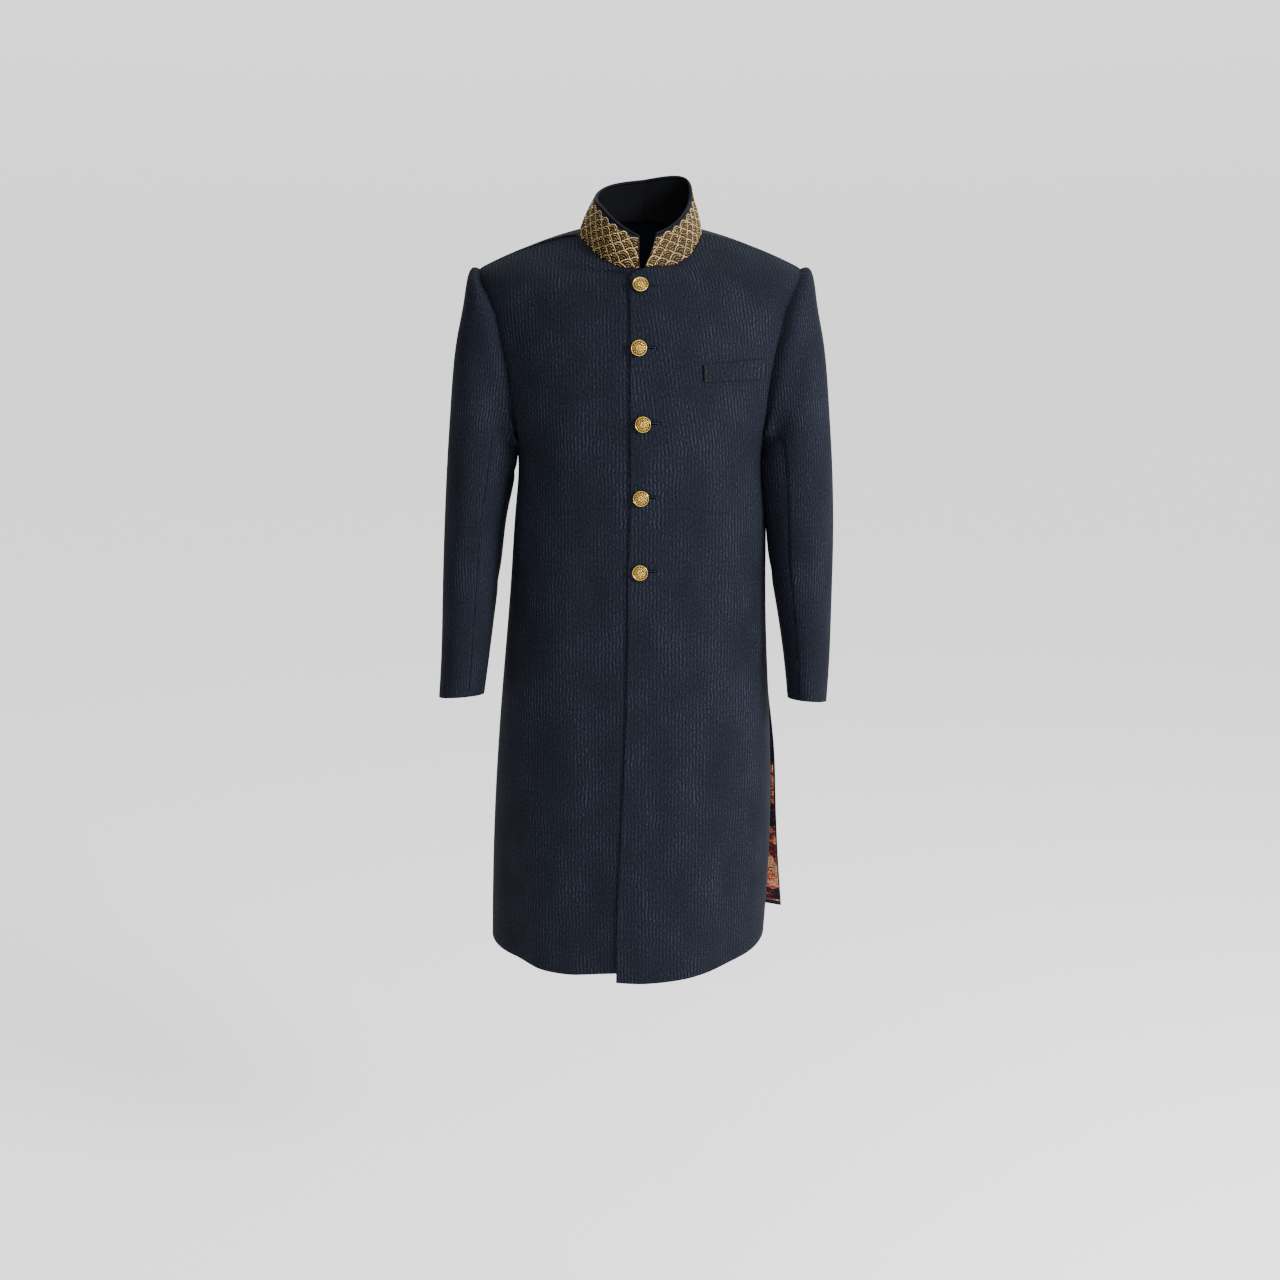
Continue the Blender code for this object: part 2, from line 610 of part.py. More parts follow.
def collar_grid():
    base, top = collar_rails()
    shares = np.linspace(0, 1, COLLAR_ROWS + 1)
    grid = np.array([base + (top - base) * s for s in shares])
    normals = grid_normals(grid, 1)
    centre = grid.mean(axis=(0, 1))
    if ((grid - centre) * normals).sum() < 0:
        normals = -normals
    grid = grid + normals * (COLLAR_BULGE * np.sin(math.pi * shares))[:, None, None]
    return grid, normals


def make_collar(navy, embroidered):
    grid, normals = collar_grid()
    shell("collar_band", grid, grid - normals * BAND_WALL, embroidered)
    inside = grid - normals * (BAND_WALL + COLLAR_GAP)
    shell("collar_stand", inside, inside - normals * STAND_WALL, navy)
    top = grid[-1]
    rise = grid[-1] - grid[-2]
    rise /= np.linalg.norm(rise, axis=1, keepdims=True)
    across = normals[-1]
    width = BAND_WALL + COLLAR_GAP + STAND_WALL
    middle = top - across * width / 2 + rise * (COLLAR_GAP + PIPING_HEIGHT / 2)
    turns = np.radians(np.arange(PIPING_SIDES) * 360 / PIPING_SIDES + 180 / PIPING_SIDES)
    scale = 1 / math.cos(math.pi / PIPING_SIDES)
    rings = np.array(
        [
            middle
            + across * (width / 2 + PIPING_PROUD) * math.cos(t) * scale
            + rise * PIPING_HEIGHT / 2 * math.sin(t) * scale
            for t in turns
        ]
    ).transpose(1, 0, 2)
    count, sides = rings.shape[:2]
    faces = [
        (i * sides + j, i * sides + (j + 1) % sides, (i + 1) * sides + (j + 1) % sides, (i + 1) * sides + j)
        for i in range(count - 1)
        for j in range(sides)
    ]
    faces.append(tuple(range(sides))[::-1])
    faces.append(tuple((count - 1) * sides + j for j in range(sides)))
    add_mesh("collar_piping", rings.reshape(-1, 3), faces, navy)


def on_front(panel, x, z):
    """The point and normal of a front's outer surface at this x and height."""
    sign = 1 if panel.startswith("left") else -1

    def place(at, up):
        return panel_row(panel, up, np.array([at]))[0]

    at, up = abs(x), float(np.interp(z, [l.front_z for l in LEVELS[: FRONT_NECK + 1]], range(FRONT_NECK + 1)))
    for _ in range(SEEK_STEPS):
        here = place(at, up)
        step_at = (place(at + SEEK_APART, up) - here) / SEEK_APART
        step_up = (place(at, up + SEEK_APART) - here) / SEEK_APART
        slope = np.array([[step_at[0], step_up[0]], [step_at[2], step_up[2]]])
        move = np.linalg.solve(slope, np.array([x - here[0], z - here[2]]))
        at, up = at + move[0], up + move[1]
    here = place(at, up)
    normal = np.cross(place(at + SEEK_APART, up) - here, place(at, up + SEEK_APART) - here) * sign
    normal /= np.linalg.norm(normal)
    return here + normal * fold_rise(panel, up, np.array([at]))[0], normal


def make_welt(material):
    low_in, low_out, high_out, high_in = (np.array(c) for c in WELT_CORNERS)
    outer = []
    inner = []
    for i in range(WELT_ROWS + 1):
        up = i / WELT_ROWS
        for j in range(WELT_COLUMNS + 1):
            across = j / WELT_COLUMNS
            low = low_in + (low_out - low_in) * across
            high = high_in + (high_out - high_in) * across
            point, normal = on_front("left_front", *(low + (high - low) * up))
            outer.append(point + normal * (LAYER_GAP + WELT_WALL))
            inner.append(point + normal * LAYER_GAP)
    shape = (WELT_ROWS + 1, WELT_COLUMNS + 1, 3)
    shell("chest_welt", np.array(outer).reshape(shape), np.array(inner).reshape(shape), material)


def make_button(number, place, material):
    """A domed button with a raised rim, turned from its profile and set square on the cloth."""
    name = f"button_{number}"
    mesh = bpy.data.meshes.new(name)
    points = [(r, 0, z) for r, z in BUTTON_PROFILE]
    mesh.from_pydata(points, [(i, i + 1) for i in range(len(points) - 1)], [])
    mesh.materials.append(material)
    button = bpy.data.objects.new(name, mesh)
    COLLECTION.objects.link(button)
    screw = button.modifiers.new("Turn", "SCREW")
    screw.steps = screw.render_steps = BUTTON_STEPS
    screw.use_merge_vertices = True
    screw.merge_threshold = 0.0001
    screw.use_smooth_shade = True
    point, normal = on_front("left_front", place.x, place.z)
    turn = Vector((0, 0, 1)).rotation_difference(Vector(normal)).to_matrix().to_4x4()
    button.matrix_world = Matrix.Translation(Vector(point + normal * LAYER_GAP)) @ turn


def make_lining(material):
    """The print inside the back skirt, one width across both back panels."""
    halves = []
    for side in ("right", "left"):
        grid, normals = GRIDS[side + "_back"]
        inside = (grid - normals * (WALL + LAYER_GAP))[: LINING_TOP_ROW + 1]
        # Its hem and side edges end just short of the cloth's
        inside[0] += (inside[1] - inside[0]) * LINING_HEM
        inside[:, -1] += (inside[:, -2] - inside[:, -1]) * LINING_SIDE
        halves.append((inside, normals[: LINING_TOP_ROW + 1]))
    outer, normals = (np.concatenate([right[:, ::-1], left], axis=1) for right, left in zip(*halves))
    shell("back_lining", outer, outer - normals * LINING_WALL, material)


def main():
    navy = make_material("navy_jacquard", NAVY, 0.75)
    embroidered = make_material("gold_embroidery", GOLD_THREAD, 0.45)
    gold = make_material("gold_button", GOLD_METAL, 0.3, 1.0)
    print_cloth = make_material("printed_lining", PRINT_RED, 0.6)
    for panel in GRIDS:
        make_panel(panel, navy)
    for side in ("right", "left"):
        make_sleeve(side, navy)
    make_collar(navy, embroidered)
    make_welt(navy)
    for number, place in enumerate(BUTTONS, 1):
        make_button(number, place, gold)
    make_lining(print_cloth)


for old in list(bpy.data.objects):
    bpy.data.objects.remove(old)
COLLECTION = bpy.data.collections.new("sherwani_coat")
bpy.context.scene.collection.children.link(COLLECTION)
GRIDS = {panel: panel_grid(panel) for panel in ("right_front", "left_front", "right_back", "left_back")}
main()
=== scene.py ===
"""Sherwani coat in its worn shape: navy self-ribbed jacquard, gold-worked stand collar, brass buttons.

Metres, +Z up, the coat faces -Y and the wearer's left is +X.
"""

import math
from collections import namedtuple

import bpy
import numpy as np
from mathutils import Matrix, Vector


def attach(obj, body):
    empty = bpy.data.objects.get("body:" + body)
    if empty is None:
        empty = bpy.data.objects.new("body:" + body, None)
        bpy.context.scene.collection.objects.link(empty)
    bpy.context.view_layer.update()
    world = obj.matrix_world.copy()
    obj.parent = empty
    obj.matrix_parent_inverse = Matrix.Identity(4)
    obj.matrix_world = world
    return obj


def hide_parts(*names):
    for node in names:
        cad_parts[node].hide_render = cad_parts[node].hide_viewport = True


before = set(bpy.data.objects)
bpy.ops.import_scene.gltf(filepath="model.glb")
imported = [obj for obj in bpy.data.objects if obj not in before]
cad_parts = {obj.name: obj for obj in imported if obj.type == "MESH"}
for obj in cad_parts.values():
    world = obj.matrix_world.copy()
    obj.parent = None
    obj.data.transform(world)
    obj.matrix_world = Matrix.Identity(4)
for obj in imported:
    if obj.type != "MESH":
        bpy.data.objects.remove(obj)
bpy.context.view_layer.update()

# ---------------------------------------------------------------- camera
# Chest height, a little over two metres off, looking slightly down the coat.

camera_data = bpy.data.cameras.new("camera")
camera_data.lens = 43.11
camera_data.sensor_width = 36
camera = bpy.data.objects.new("camera", camera_data)
camera.location = (0, -2.25, -0.10)
camera.rotation_euler = (math.radians(78), 0, 0)
bpy.context.scene.collection.objects.link(camera)
bpy.context.scene.camera = camera

# ---------------------------------------------------------------- front and back panels
# Four long panels of a stiff wool-blend jacquard, cut close to the body and joined at the sides,
# the shoulders and the centre back. The left front laps over the right, and the skirt hangs
# open at two side vents.

WALL = 0.0024
# Sewn edges press a little into each other
SEAM_GAP = -0.0003
# Space between cloth and what lies on it
LAYER_GAP = 0.0007
ROWS_A_LEVEL = 8
NECK_ROWS_A_LEVEL = 10
# A cross-line drops from the centre to the side by this power of its length
DROOP = 1.5

# The coat's outline at each level up the body: the centre front, centre back and side seam as x, y
# and z, how square the oval between them is, and where the side seam cuts it in degrees
Level = namedtuple(
    "Level",
    "name front_x front_y front_z back_x back_y back_z "
    "left_x right_x side_y side_z front_round back_round front_turn back_turn",
)
LEVELS = (
    Level("hem", 0, -0.132, -1.073, 0, 0.122, -1.035, 0.2095, 0.2325, 0.025, -1.050, 1.8, 2.2, 90, 90),
    Level("knee", 0, -0.134, -0.965, 0, 0.123, -0.930, 0.2085, 0.2295, 0.024, -0.945, 1.9, 2.2, 90, 90),
    Level("thigh", 0, -0.135, -0.825, 0, 0.122, -0.800, 0.2045, 0.2220, 0.020, -0.810, 2.1, 2.3, 90, 90),
    Level("vent", 0, -0.135, -0.665, 0, 0.116, -0.655, 0.1945, 0.2090, 0.012, -0.658, 2.2, 2.3, 90, 90),
    Level("waist", 0, -0.131, -0.475, 0, 0.092, -0.465, 0.1862, 0.1905, 0.004, -0.470, 2.3, 2.3, 90, 90),
    Level("ribs", 0, -0.135, -0.370, 0, 0.101, -0.365, 0.1835, 0.1820, 0.002, -0.370, 2.3, 2.3, 90, 90),
    Level("underarm", 0, -0.138, -0.278, 0, 0.113, -0.275, 0.1800, 0.1790, 0.000, -0.292, 2.3, 2.3, 90, 90),
    Level("scye", 0, -0.138, -0.232, 0, 0.118, -0.225, 0.1880, 0.1880, -0.002, -0.262, 2.3, 2.3, 70, 72),
    Level("chest", 0, -0.136, -0.180, 0, 0.119, -0.170, 0.1970, 0.1970, -0.002, -0.234, 2.3, 2.3, 65, 65),
    Level("breast", 0, -0.130, -0.132, 0, 0.115, -0.120, 0.2050, 0.2050, -0.002, -0.203, 2.4, 2.4, 63, 61),
    Level("collarbone", 0, -0.115, -0.086, 0, 0.104, -0.065, 0.2135, 0.2135, -0.002, -0.167, 2.6, 2.6, 62, 60),
    Level("neck", 0, -0.0885, -0.041, 0, 0.088, -0.012, 0.2225, 0.2225, -0.001, -0.131, 3.0, 3.0, 60, 58),
    Level("neckline", 0.0413, -0.078, -0.0345, 0, 0.072, 0.030, 0.2270, 0.2270, 0, -0.088, 3.2, 3.2, 64, 62),
    Level("neck_side", 0.0741, -0.042, -0.0136, 0.058, 0.052, 0.026, 0.2296, 0.2296, 0, -0.056, 4.2, 4.2, 74, 73),
    Level("shoulder", 0.0880, 0, 0.0120, 0.0880, 0, 0.0120, 0.2296, 0.2296, 0, -0.036, 4.2, 4.2, 80, 80),
)
NAMES = [level.name for level in LEVELS]
VENT = NAMES.index("vent")
UNDERARM = NAMES.index("underarm")
FRONT_NECK = NAMES.index("neck")
BACK_NECK = NAMES.index("neckline")
SHOULDER = NAMES.index("shoulder")

# How far each side edge swings at the hem below the vents: outward, back and up
HEM_SWING = {
    "left_front": (-0.0155, -0.008, 0.004),
    "left_back": (0.0180, 0.055, 0.018),
    "right_front": (0.0, -0.006, -0.004),
    "right_back": (-0.008, 0.024, 0.010),
}
SWING_POWER = 1.4
BACK_EDGE_TURN = 58
TURN_POWER = 0.8

# The overlap's edge, its rounded top corner and the underlap tucked in behind it
Edge = namedtuple("Edge", "level beyond_centre")
OVERLAP_EDGE = (Edge(0, 0.0360), Edge(1, 0.0345), Edge(3, 0.0200), Edge(5, 0.0140), Edge(11, 0.0137))
# The right front's neck edge lies higher and farther back than the left's: outward, back and up,
# the level it starts from and how far it reaches into the cloth
NECK_SHIFT = (0.0, 0.018, 0.0130)
NECK_SHIFT_FROM = 11.6
NECK_SHIFT_REACH = 0.050
OVERLAP_CORNER = 0.009
CORNER_LEVELS = 0.27
UNDERLAP = 0.032
TUCK_FULL = 0.050
TUCK_END = 0.110
UNDERLAP_LIFT = 0.016
LIFT_END = 0.130
CROSS_STEPS = 240

# Long soft folds: distance from the centre line at the top and the foot, the levels they run between
Fold = namedtuple("Fold", "top_at foot_at top foot rise width")
FOLDS = {
    "right_front": (
        Fold(0.175, 0.150, 4.6, -0.5, 0.0050, 0.026),
        Fold(0.215, 0.205, 4.4, -0.5, -0.0030, 0.024),
        Fold(0.060, 0.075, 6.4, 3.2, -0.0025, 0.030),
    ),
    "left_front": (
        Fold(0.165, 0.150, 5.0, 0.8, -0.0030, 0.030),
        Fold(0.085, 0.070, 3.0, -0.5, 0.0025, 0.034),
    ),
    "right_back": (
        Fold(0.110, 0.140, 4.2, -0.5, 0.0055, 0.034),
        Fold(0.070, 0.055, 5.0, 3.6, -0.0030, 0.030),
    ),
    "left_back": (
        Fold(0.120, 0.150, 4.2, -0.5, 0.0060, 0.034),
        Fold(0.060, 0.050, 5.2, 3.4, -0.0030, 0.030),
    ),
}

# Creases: from one place to another as distance from the centre line and height, how far they
# bow sideways, their rise out of the cloth (negative is a trough) and half width
Crease = namedtuple("Crease", "from_at from_z to_at to_z bow rise width")
CREASES = {
    "right_front": (
        Crease(0.205, -0.262, 0.118, -0.335, 0.006, -0.0016, 0.011),
        Crease(0.215, -0.285, 0.150, -0.378, 0.008, 0.0013, 0.012),
        Crease(0.072, -0.235, 0.064, -0.385, 0.004, -0.0013, 0.014),
        Crease(0.058, -0.440, 0.066, -0.560, -0.004, -0.0014, 0.013),
        Crease(0.240, -0.455, 0.170, -0.515, 0.005, -0.0012, 0.010),
        Crease(0.120, -0.600, 0.108, -0.900, 0.006, -0.0012, 0.019),
        Crease(0.096, -0.985, 0.091, -1.075, 0.002, -0.0016, 0.006),
        Crease(0.048, -0.700, 0.052, -1.010, -0.004, 0.0011, 0.021),
        Crease(0.170, -0.064, 0.100, -0.130, -0.004, -0.0009, 0.012),
        Crease(0.004, -0.0500, 0.066, -0.0380, -0.006, -0.0042, 0.0055),
    ),
    "left_front": (
        Crease(0.210, -0.258, 0.136, -0.322, -0.005, -0.0014, 0.010),
        Crease(0.224, -0.290, 0.158, -0.402, 0.006, 0.0012, 0.013),
        Crease(0.098, -0.395, 0.112, -0.560, 0.005, -0.0012, 0.017),
        Crease(0.212, -0.520, 0.206, -0.800, 0.005, -0.0014, 0.016),
        Crease(0.034, -0.620, 0.020, -0.930, 0.005, -0.0012, 0.018),
        Crease(0.128, -0.760, 0.150, -1.060, -0.004, -0.0014, 0.020),
        Crease(0.176, -0.070, 0.110, -0.125, 0.004, -0.0009, 0.012),
        Crease(-0.0125, -0.0385, -0.0110, -0.0900, 0.0, 0.0016, 0.0060),
    ),
    "right_back": (
        Crease(0.185, -0.235, 0.100, -0.310, 0.005, -0.0017, 0.012),
        Crease(0.220, -0.310, 0.140, -0.375, 0.005, 0.0014, 0.013),
        Crease(0.220, -0.440, 0.105, -0.448, -0.007, -0.0018, 0.012),
        Crease(0.210, -0.492, 0.150, -0.535, 0.005, 0.0013, 0.011),
        Crease(0.068, -0.540, 0.060, -0.930, -0.007, -0.0022, 0.020),
        Crease(0.195, -0.640, 0.185, -1.010, 0.007, -0.0018, 0.020),
        Crease(0.140, -0.075, 0.155, -0.200, -0.006, -0.0013, 0.015),
    ),
    "left_back": (
        Crease(0.190, -0.240, 0.090, -0.300, 0.006, -0.0018, 0.013),
        Crease(0.215, -0.300, 0.130, -0.390, 0.006, 0.0015, 0.014),
        Crease(0.225, -0.430, 0.120, -0.455, 0.008, -0.0017, 0.011),
        Crease(0.215, -0.480, 0.140, -0.520, -0.006, 0.0014, 0.012),
        Crease(0.060, -0.560, 0.078, -0.960, 0.008, -0.0022, 0.021),
        Crease(0.200, -0.660, 0.215, -1.000, -0.008, -0.0020, 0.018),
        Crease(0.130, -0.060, 0.150, -0.190, 0.006, -0.0014, 0.016),
        Crease(0.240, -0.645, 0.243, -0.990, 0.0, 0.0062, 0.020),
    ),
}
# How fast a crease fades towards its ends, and the widths of its flanks as shares of its own
CREASE_FADING = 1.3
SOFT_FLANK, STEEP_FLANK = 1.25, 0.8
# A fold is full over this share of its height, and fades above it
FOLD_FULL = 0.15
FOLD_AHEAD = 0.35
# The left chest is cut a little off the grain
GRAIN_LEAN = 0.16


def spline(keys, values, at):
    """Natural cubic curve through the rows of a table."""
    keys = np.asarray(keys, float)
    values = np.asarray(values, float)
    at = np.clip(np.asarray(at, float), keys[0], keys[-1])
    gaps = np.diff(keys)
    left = np.eye(len(keys))
    right = np.zeros(values.shape)
    for i in range(1, len(keys) - 1):
        left[i, i - 1:i + 2] = gaps[i - 1], 2 * (gaps[i - 1] + gaps[i]), gaps[i]
        rise = (values[i + 1] - values[i]) / gaps[i]
        right[i] = 6 * (rise - (values[i] - values[i - 1]) / gaps[i - 1])
    bend = np.linalg.solve(left, right)
    i = np.clip(np.searchsorted(keys, at) - 1, 0, len(keys) - 2)
    step = gaps[i][..., None]
    b = (at - keys[i])[..., None] / step
    a = 1 - b
    return (
        a * values[i]
        + b * values[i + 1]
        + ((a**3 - a) * bend[i] + (b**3 - b) * bend[i + 1]) * step**2 / 6
    )


def walked(points):
    """How far along a run of straight lines each of its points lies."""
    return np.concatenate([[0], np.cumsum(np.linalg.norm(np.diff(points, axis=0), axis=-1))])


def read_at(at, keys, rows):
    """The rows of a table read between its keys."""
    return np.stack([np.interp(at, keys, column) for column in rows.T], axis=-1)


def bell(off, width):
    return np.exp(-((off / width) ** 2))


def smooth_step(value, start, end):
    t = np.clip((value - start) / (end - start), 0, 1)
    return t * t * (3 - 2 * t)


def level_keys():
    """How far up the cloth each level lies, as the mean of the front, back and side."""
    corners = np.array(
        [
            [(l.front_x, l.front_y, l.front_z), (l.back_x, l.back_y, l.back_z), (l.left_x, l.side_y, l.side_z)]
            for l in LEVELS
        ]
    )
    steps = np.linalg.norm(np.diff(corners, axis=0), axis=2).mean(axis=1)
    return np.concatenate([[0], np.cumsum(steps)])


KEYS = level_keys()
TABLE = np.array([level[1:] for level in LEVELS], float)


def up_the_cloth(up):
    """The distance up the cloth of a place between two levels."""
    return float(np.interp(up, np.arange(len(KEYS)), KEYS))


def level_at(up):
    """The table's row at a place between two levels."""
    level = Level("", *spline(KEYS, TABLE, [up_the_cloth(up)])[0])
    level = level._replace(
        front_x=max(0.0, level.front_x) if up > FRONT_NECK else 0.0,
        back_x=max(0.0, level.back_x) if up > BACK_NECK else 0.0,
    )
    turns = {}
    for name in ("front_turn", "back_turn"):
        values = [getattr(l, name) for l in LEVELS]
        turns[name] = np.interp(up, np.arange(len(LEVELS)), values)
        if UNDERARM < up < UNDERARM + 1:
            full, end = values[UNDERARM:UNDERARM + 2]
            turns[name] = full + (end - full) * math.sqrt(up - UNDERARM)
    return level._replace(**turns)


def cross_line(panel, up):
    """One cross-line of a panel as (plan distance, points, distance of its side edge)."""
    row = level_at(up)
    front = panel.endswith("front")
    centre = np.array(
        [row.front_x, row.front_y, row.front_z] if front else [row.back_x, row.back_y, row.back_z]
    )
    side = np.array([row.left_x if panel.startswith("left") else row.right_x, row.side_y, row.side_z])
    below_vent = max(0.0, 1 - up / VENT)
    side = side + np.array(HEM_SWING[panel]) * below_vent**SWING_POWER
    turn = row.front_turn if front else row.back_turn - (90 - BACK_EDGE_TURN) * below_vent**TURN_POWER
    turn = math.radians(min(90.0, turn))
    power = 2 / (row.front_round if front else row.back_round)
    angle = np.linspace(0, math.pi / 2, CROSS_STEPS)
    x = centre[0] + (side[0] - centre[0]) * np.sin(angle) ** power
    y = side[1] + (centre[1] - side[1]) * np.abs(np.cos(angle)) ** power
    walk = walked(np.stack([x, y], axis=1))
    z = centre[2] + (side[2] - centre[2]) * (walk / walk[-1]) ** DROOP
    end = np.interp(turn, angle, walk)
    points = np.stack([x, y, z], axis=1)
    if below_vent and not front:
        points = points + (side - read_at(end, walk, points)) * (walk / end)[:, None] ** 2
    return walk, points, end


def half_row(panel, up, at):
    walk, points, _ = cross_line(panel, up)
    return read_at(np.maximum(at, 0), walk, points) * (1 if panel.startswith("left") else -1, 1, 1)


def panel_row(panel, up, at):
    """Points of a panel at plan distances from the centre line, negative beyond it."""
    own = half_row(panel, up, at)
    if (at >= 0).all():
        return own
    side, kind = panel.split("_")
    beyond = half_row(("right_" if side == "left" else "left_") + kind, up, -at)
    return np.where((at < 0)[:, None], beyond, own)


def beyond_centre(panel, up):
    """How far a front reaches past the centre line at this height."""
    if up > FRONT_NECK or panel.endswith("back"):
        return 0.0
    if panel == "right_front":
        return UNDERLAP
    reach = float(np.interp(up, [e.level for e in OVERLAP_EDGE], [e.beyond_centre for e in OVERLAP_EDGE]))
    into_corner = max(0.0, 1 - (FRONT_NECK - up) / CORNER_LEVELS)
    return reach - OVERLAP_CORNER * (1 - math.sqrt(1 - into_corner**2))


def neck_shift(up):
    """How far the right front's neck edge is moved at this height."""
    along = np.clip((up - NECK_SHIFT_FROM) / (SHOULDER - NECK_SHIFT_FROM), 0, 1)
    return np.array(NECK_SHIFT) * math.sin(math.pi * along)


def crease_rise(crease, start, end, at, z, fading, flank, bow=0.0):
    """One soft trough or ridge from start to end, fading out at both, with one flank steeper."""
    start = np.array(start)
    run = np.array(end) - start
    length = np.linalg.norm(run)
    run /= length
    along = ((at - start[0]) * run[0] + (z - start[1]) * run[1]) / length
    off = (at - start[0]) * run[1] - (z - start[1]) * run[0]
    swell = np.sin(math.pi * np.clip(along, 0, 1))
    off = off - bow * swell
    width = crease.width * np.where(off > 0, flank, STEEP_FLANK)
    return crease.rise * swell**fading * bell(off, width)


def relief(panel, up, at, z):
    """How far the cloth stands out of its plain form: long folds, creases and the underlap's tuck."""
    rise = np.zeros_like(at)
    for crease in CREASES[panel]:
        start, end = (crease.from_at, crease.from_z), (crease.to_at, crease.to_z)
        rise += crease_rise(crease, start, end, at, z, CREASE_FADING, SOFT_FLANK, crease.bow)
    for fold in FOLDS[panel]:
        if up >= fold.top:
            continue
        along = np.clip((up - fold.foot) / (fold.top - fold.foot), 0, 1)
        middle = fold.foot_at + (fold.top_at - fold.foot_at) * along
        fade = math.sin(math.pi * min(1.0, along + FOLD_AHEAD)) ** 2 if along > FOLD_FULL else 1.0
        rise += fold.rise * fade * bell(at - middle, fold.width)
    if panel == "right_front":
        rise -= (WALL + LAYER_GAP) * (1 - smooth_step(at, TUCK_FULL, TUCK_END))
    return rise


def panel_ups():
    """The heights of the grid's rows, closer together round the neck."""
    body = np.linspace(0, FRONT_NECK, FRONT_NECK * ROWS_A_LEVEL + 1)
    neck = np.linspace(FRONT_NECK, SHOULDER, (SHOULDER - FRONT_NECK) * NECK_ROWS_A_LEVEL + 1)
    return np.concatenate([body, neck[1:]])


COLUMN_SHARES = np.concatenate([[0, 0.012, 0.030], np.linspace(0.055, 0.945, 44), [0.970, 0.988, 1]])
SEAM_DIP = 0.0007
SEAM_DIP_WIDTH = 0.0035
CENTRE_DIP = 0.0014


def unit(vectors):
    return vectors / np.linalg.norm(vectors, axis=-1, keepdims=True)


def grid_normals(grid, sign):
    return unit(np.cross(np.gradient(grid, axis=1), np.gradient(grid, axis=0)) * sign)


def panel_grid(panel):
    """Outer points, outward normals and cloth coordinates of a panel, rows from the hem up."""
    front = panel.endswith("front")
    ups = panel_ups()
    rows, rises, places = [], [], []
    for up in ups:
        end = cross_line(panel, up)[2] - SEAM_GAP / 2
        start = -beyond_centre(panel, up)
        at = start + (end - start) * COLUMN_SHARES
        row = panel_row(panel, up, at)
        if panel == "right_front":
            row[:, 2] += UNDERLAP_LIFT * (1 - smooth_step(at, 0, LIFT_END)) * max(0.0, 1 - up)
            row += bell(at, NECK_SHIFT_REACH)[:, None] * neck_shift(up)
        dip = -SEAM_DIP * bell(end - at, SEAM_DIP_WIDTH) if up > VENT else 0.0
        if not front:
            dip = dip - CENTRE_DIP * bell(at - start, SEAM_DIP_WIDTH)
        rows.append(row)
        rises.append(relief(panel, up, at, row[:, 2]) + dip)
        height = up_the_cloth(up)
        centre = level_at(up).front_x if front else level_at(up).back_x
        lean = GRAIN_LEAN * max(0.0, height - KEYS[UNDERARM]) if panel == "left_front" else 0.0
        places.append(np.stack([at + centre + lean, np.full_like(at, height)], axis=1))
    grid = np.array(rows)
    sign = (1 if panel.startswith("left") else -1) * (1 if front else -1)
    normals = grid_normals(grid, sign)
    if not front:
        normals[ups <= BACK_NECK, 0, 0] = 0
    seamed = (ups >= VENT) & (ups <= UNDERARM)
    edge = np.gradient(grid[:, -1], axis=0)
    outward = np.stack([edge[:, 2], 0 * edge[:, 1], -edge[:, 0]], axis=1) * np.sign(grid[0, -1, 0])
    normals[seamed, -1] = outward[seamed]
    along = np.gradient(grid[-1], axis=0)
    normals[-1] = np.stack([-along[:, 2], 0 * along[:, 0], along[:, 0]], axis=1) * np.sign(grid[-1, -1, 0])
    normals = unit(normals)
    grid = grid + normals * np.array(rises)[..., None]
    grid[-1, :, 1] += (-1 if front else 1) * SEAM_GAP / 2
    return grid, normals, np.array(places)


def add_mesh(name, points, faces, uv, material):
    """An object of these faces, turned to face out, with cloth coordinates in metres."""
    points = np.asarray(points, float)
    mesh = bpy.data.meshes.new(name)
    mesh.from_pydata(points.tolist(), [], [list(map(int, face)) for face in faces])
    fans = np.array([(f[0], f[k], f[k + 1]) for f in faces for k in range(1, len(f) - 1)])
    if np.linalg.det(points[fans]).sum() < 0:
        mesh.flip_normals()
    if uv is not None:
        corners = np.empty(len(mesh.loops), np.int32)
        mesh.loops.foreach_get("vertex_index", corners)
        layer = mesh.uv_layers.new(name="cloth")
        layer.data.foreach_set("uv", np.asarray(uv, np.float32)[corners].ravel())
    mesh.materials.append(material)
    mesh.shade_smooth()
    piece = bpy.data.objects.new(name, mesh)
    bpy.context.scene.collection.objects.link(piece)
    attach(piece, "root")
    return piece


EDGE_TURNS = np.radians([45, 90, 135])
# A sewn edge is pressed nearly square, so its turn is a small share of a free edge's
SEWN_TURN = 0.15
SHARP_ANGLE = math.radians(50)


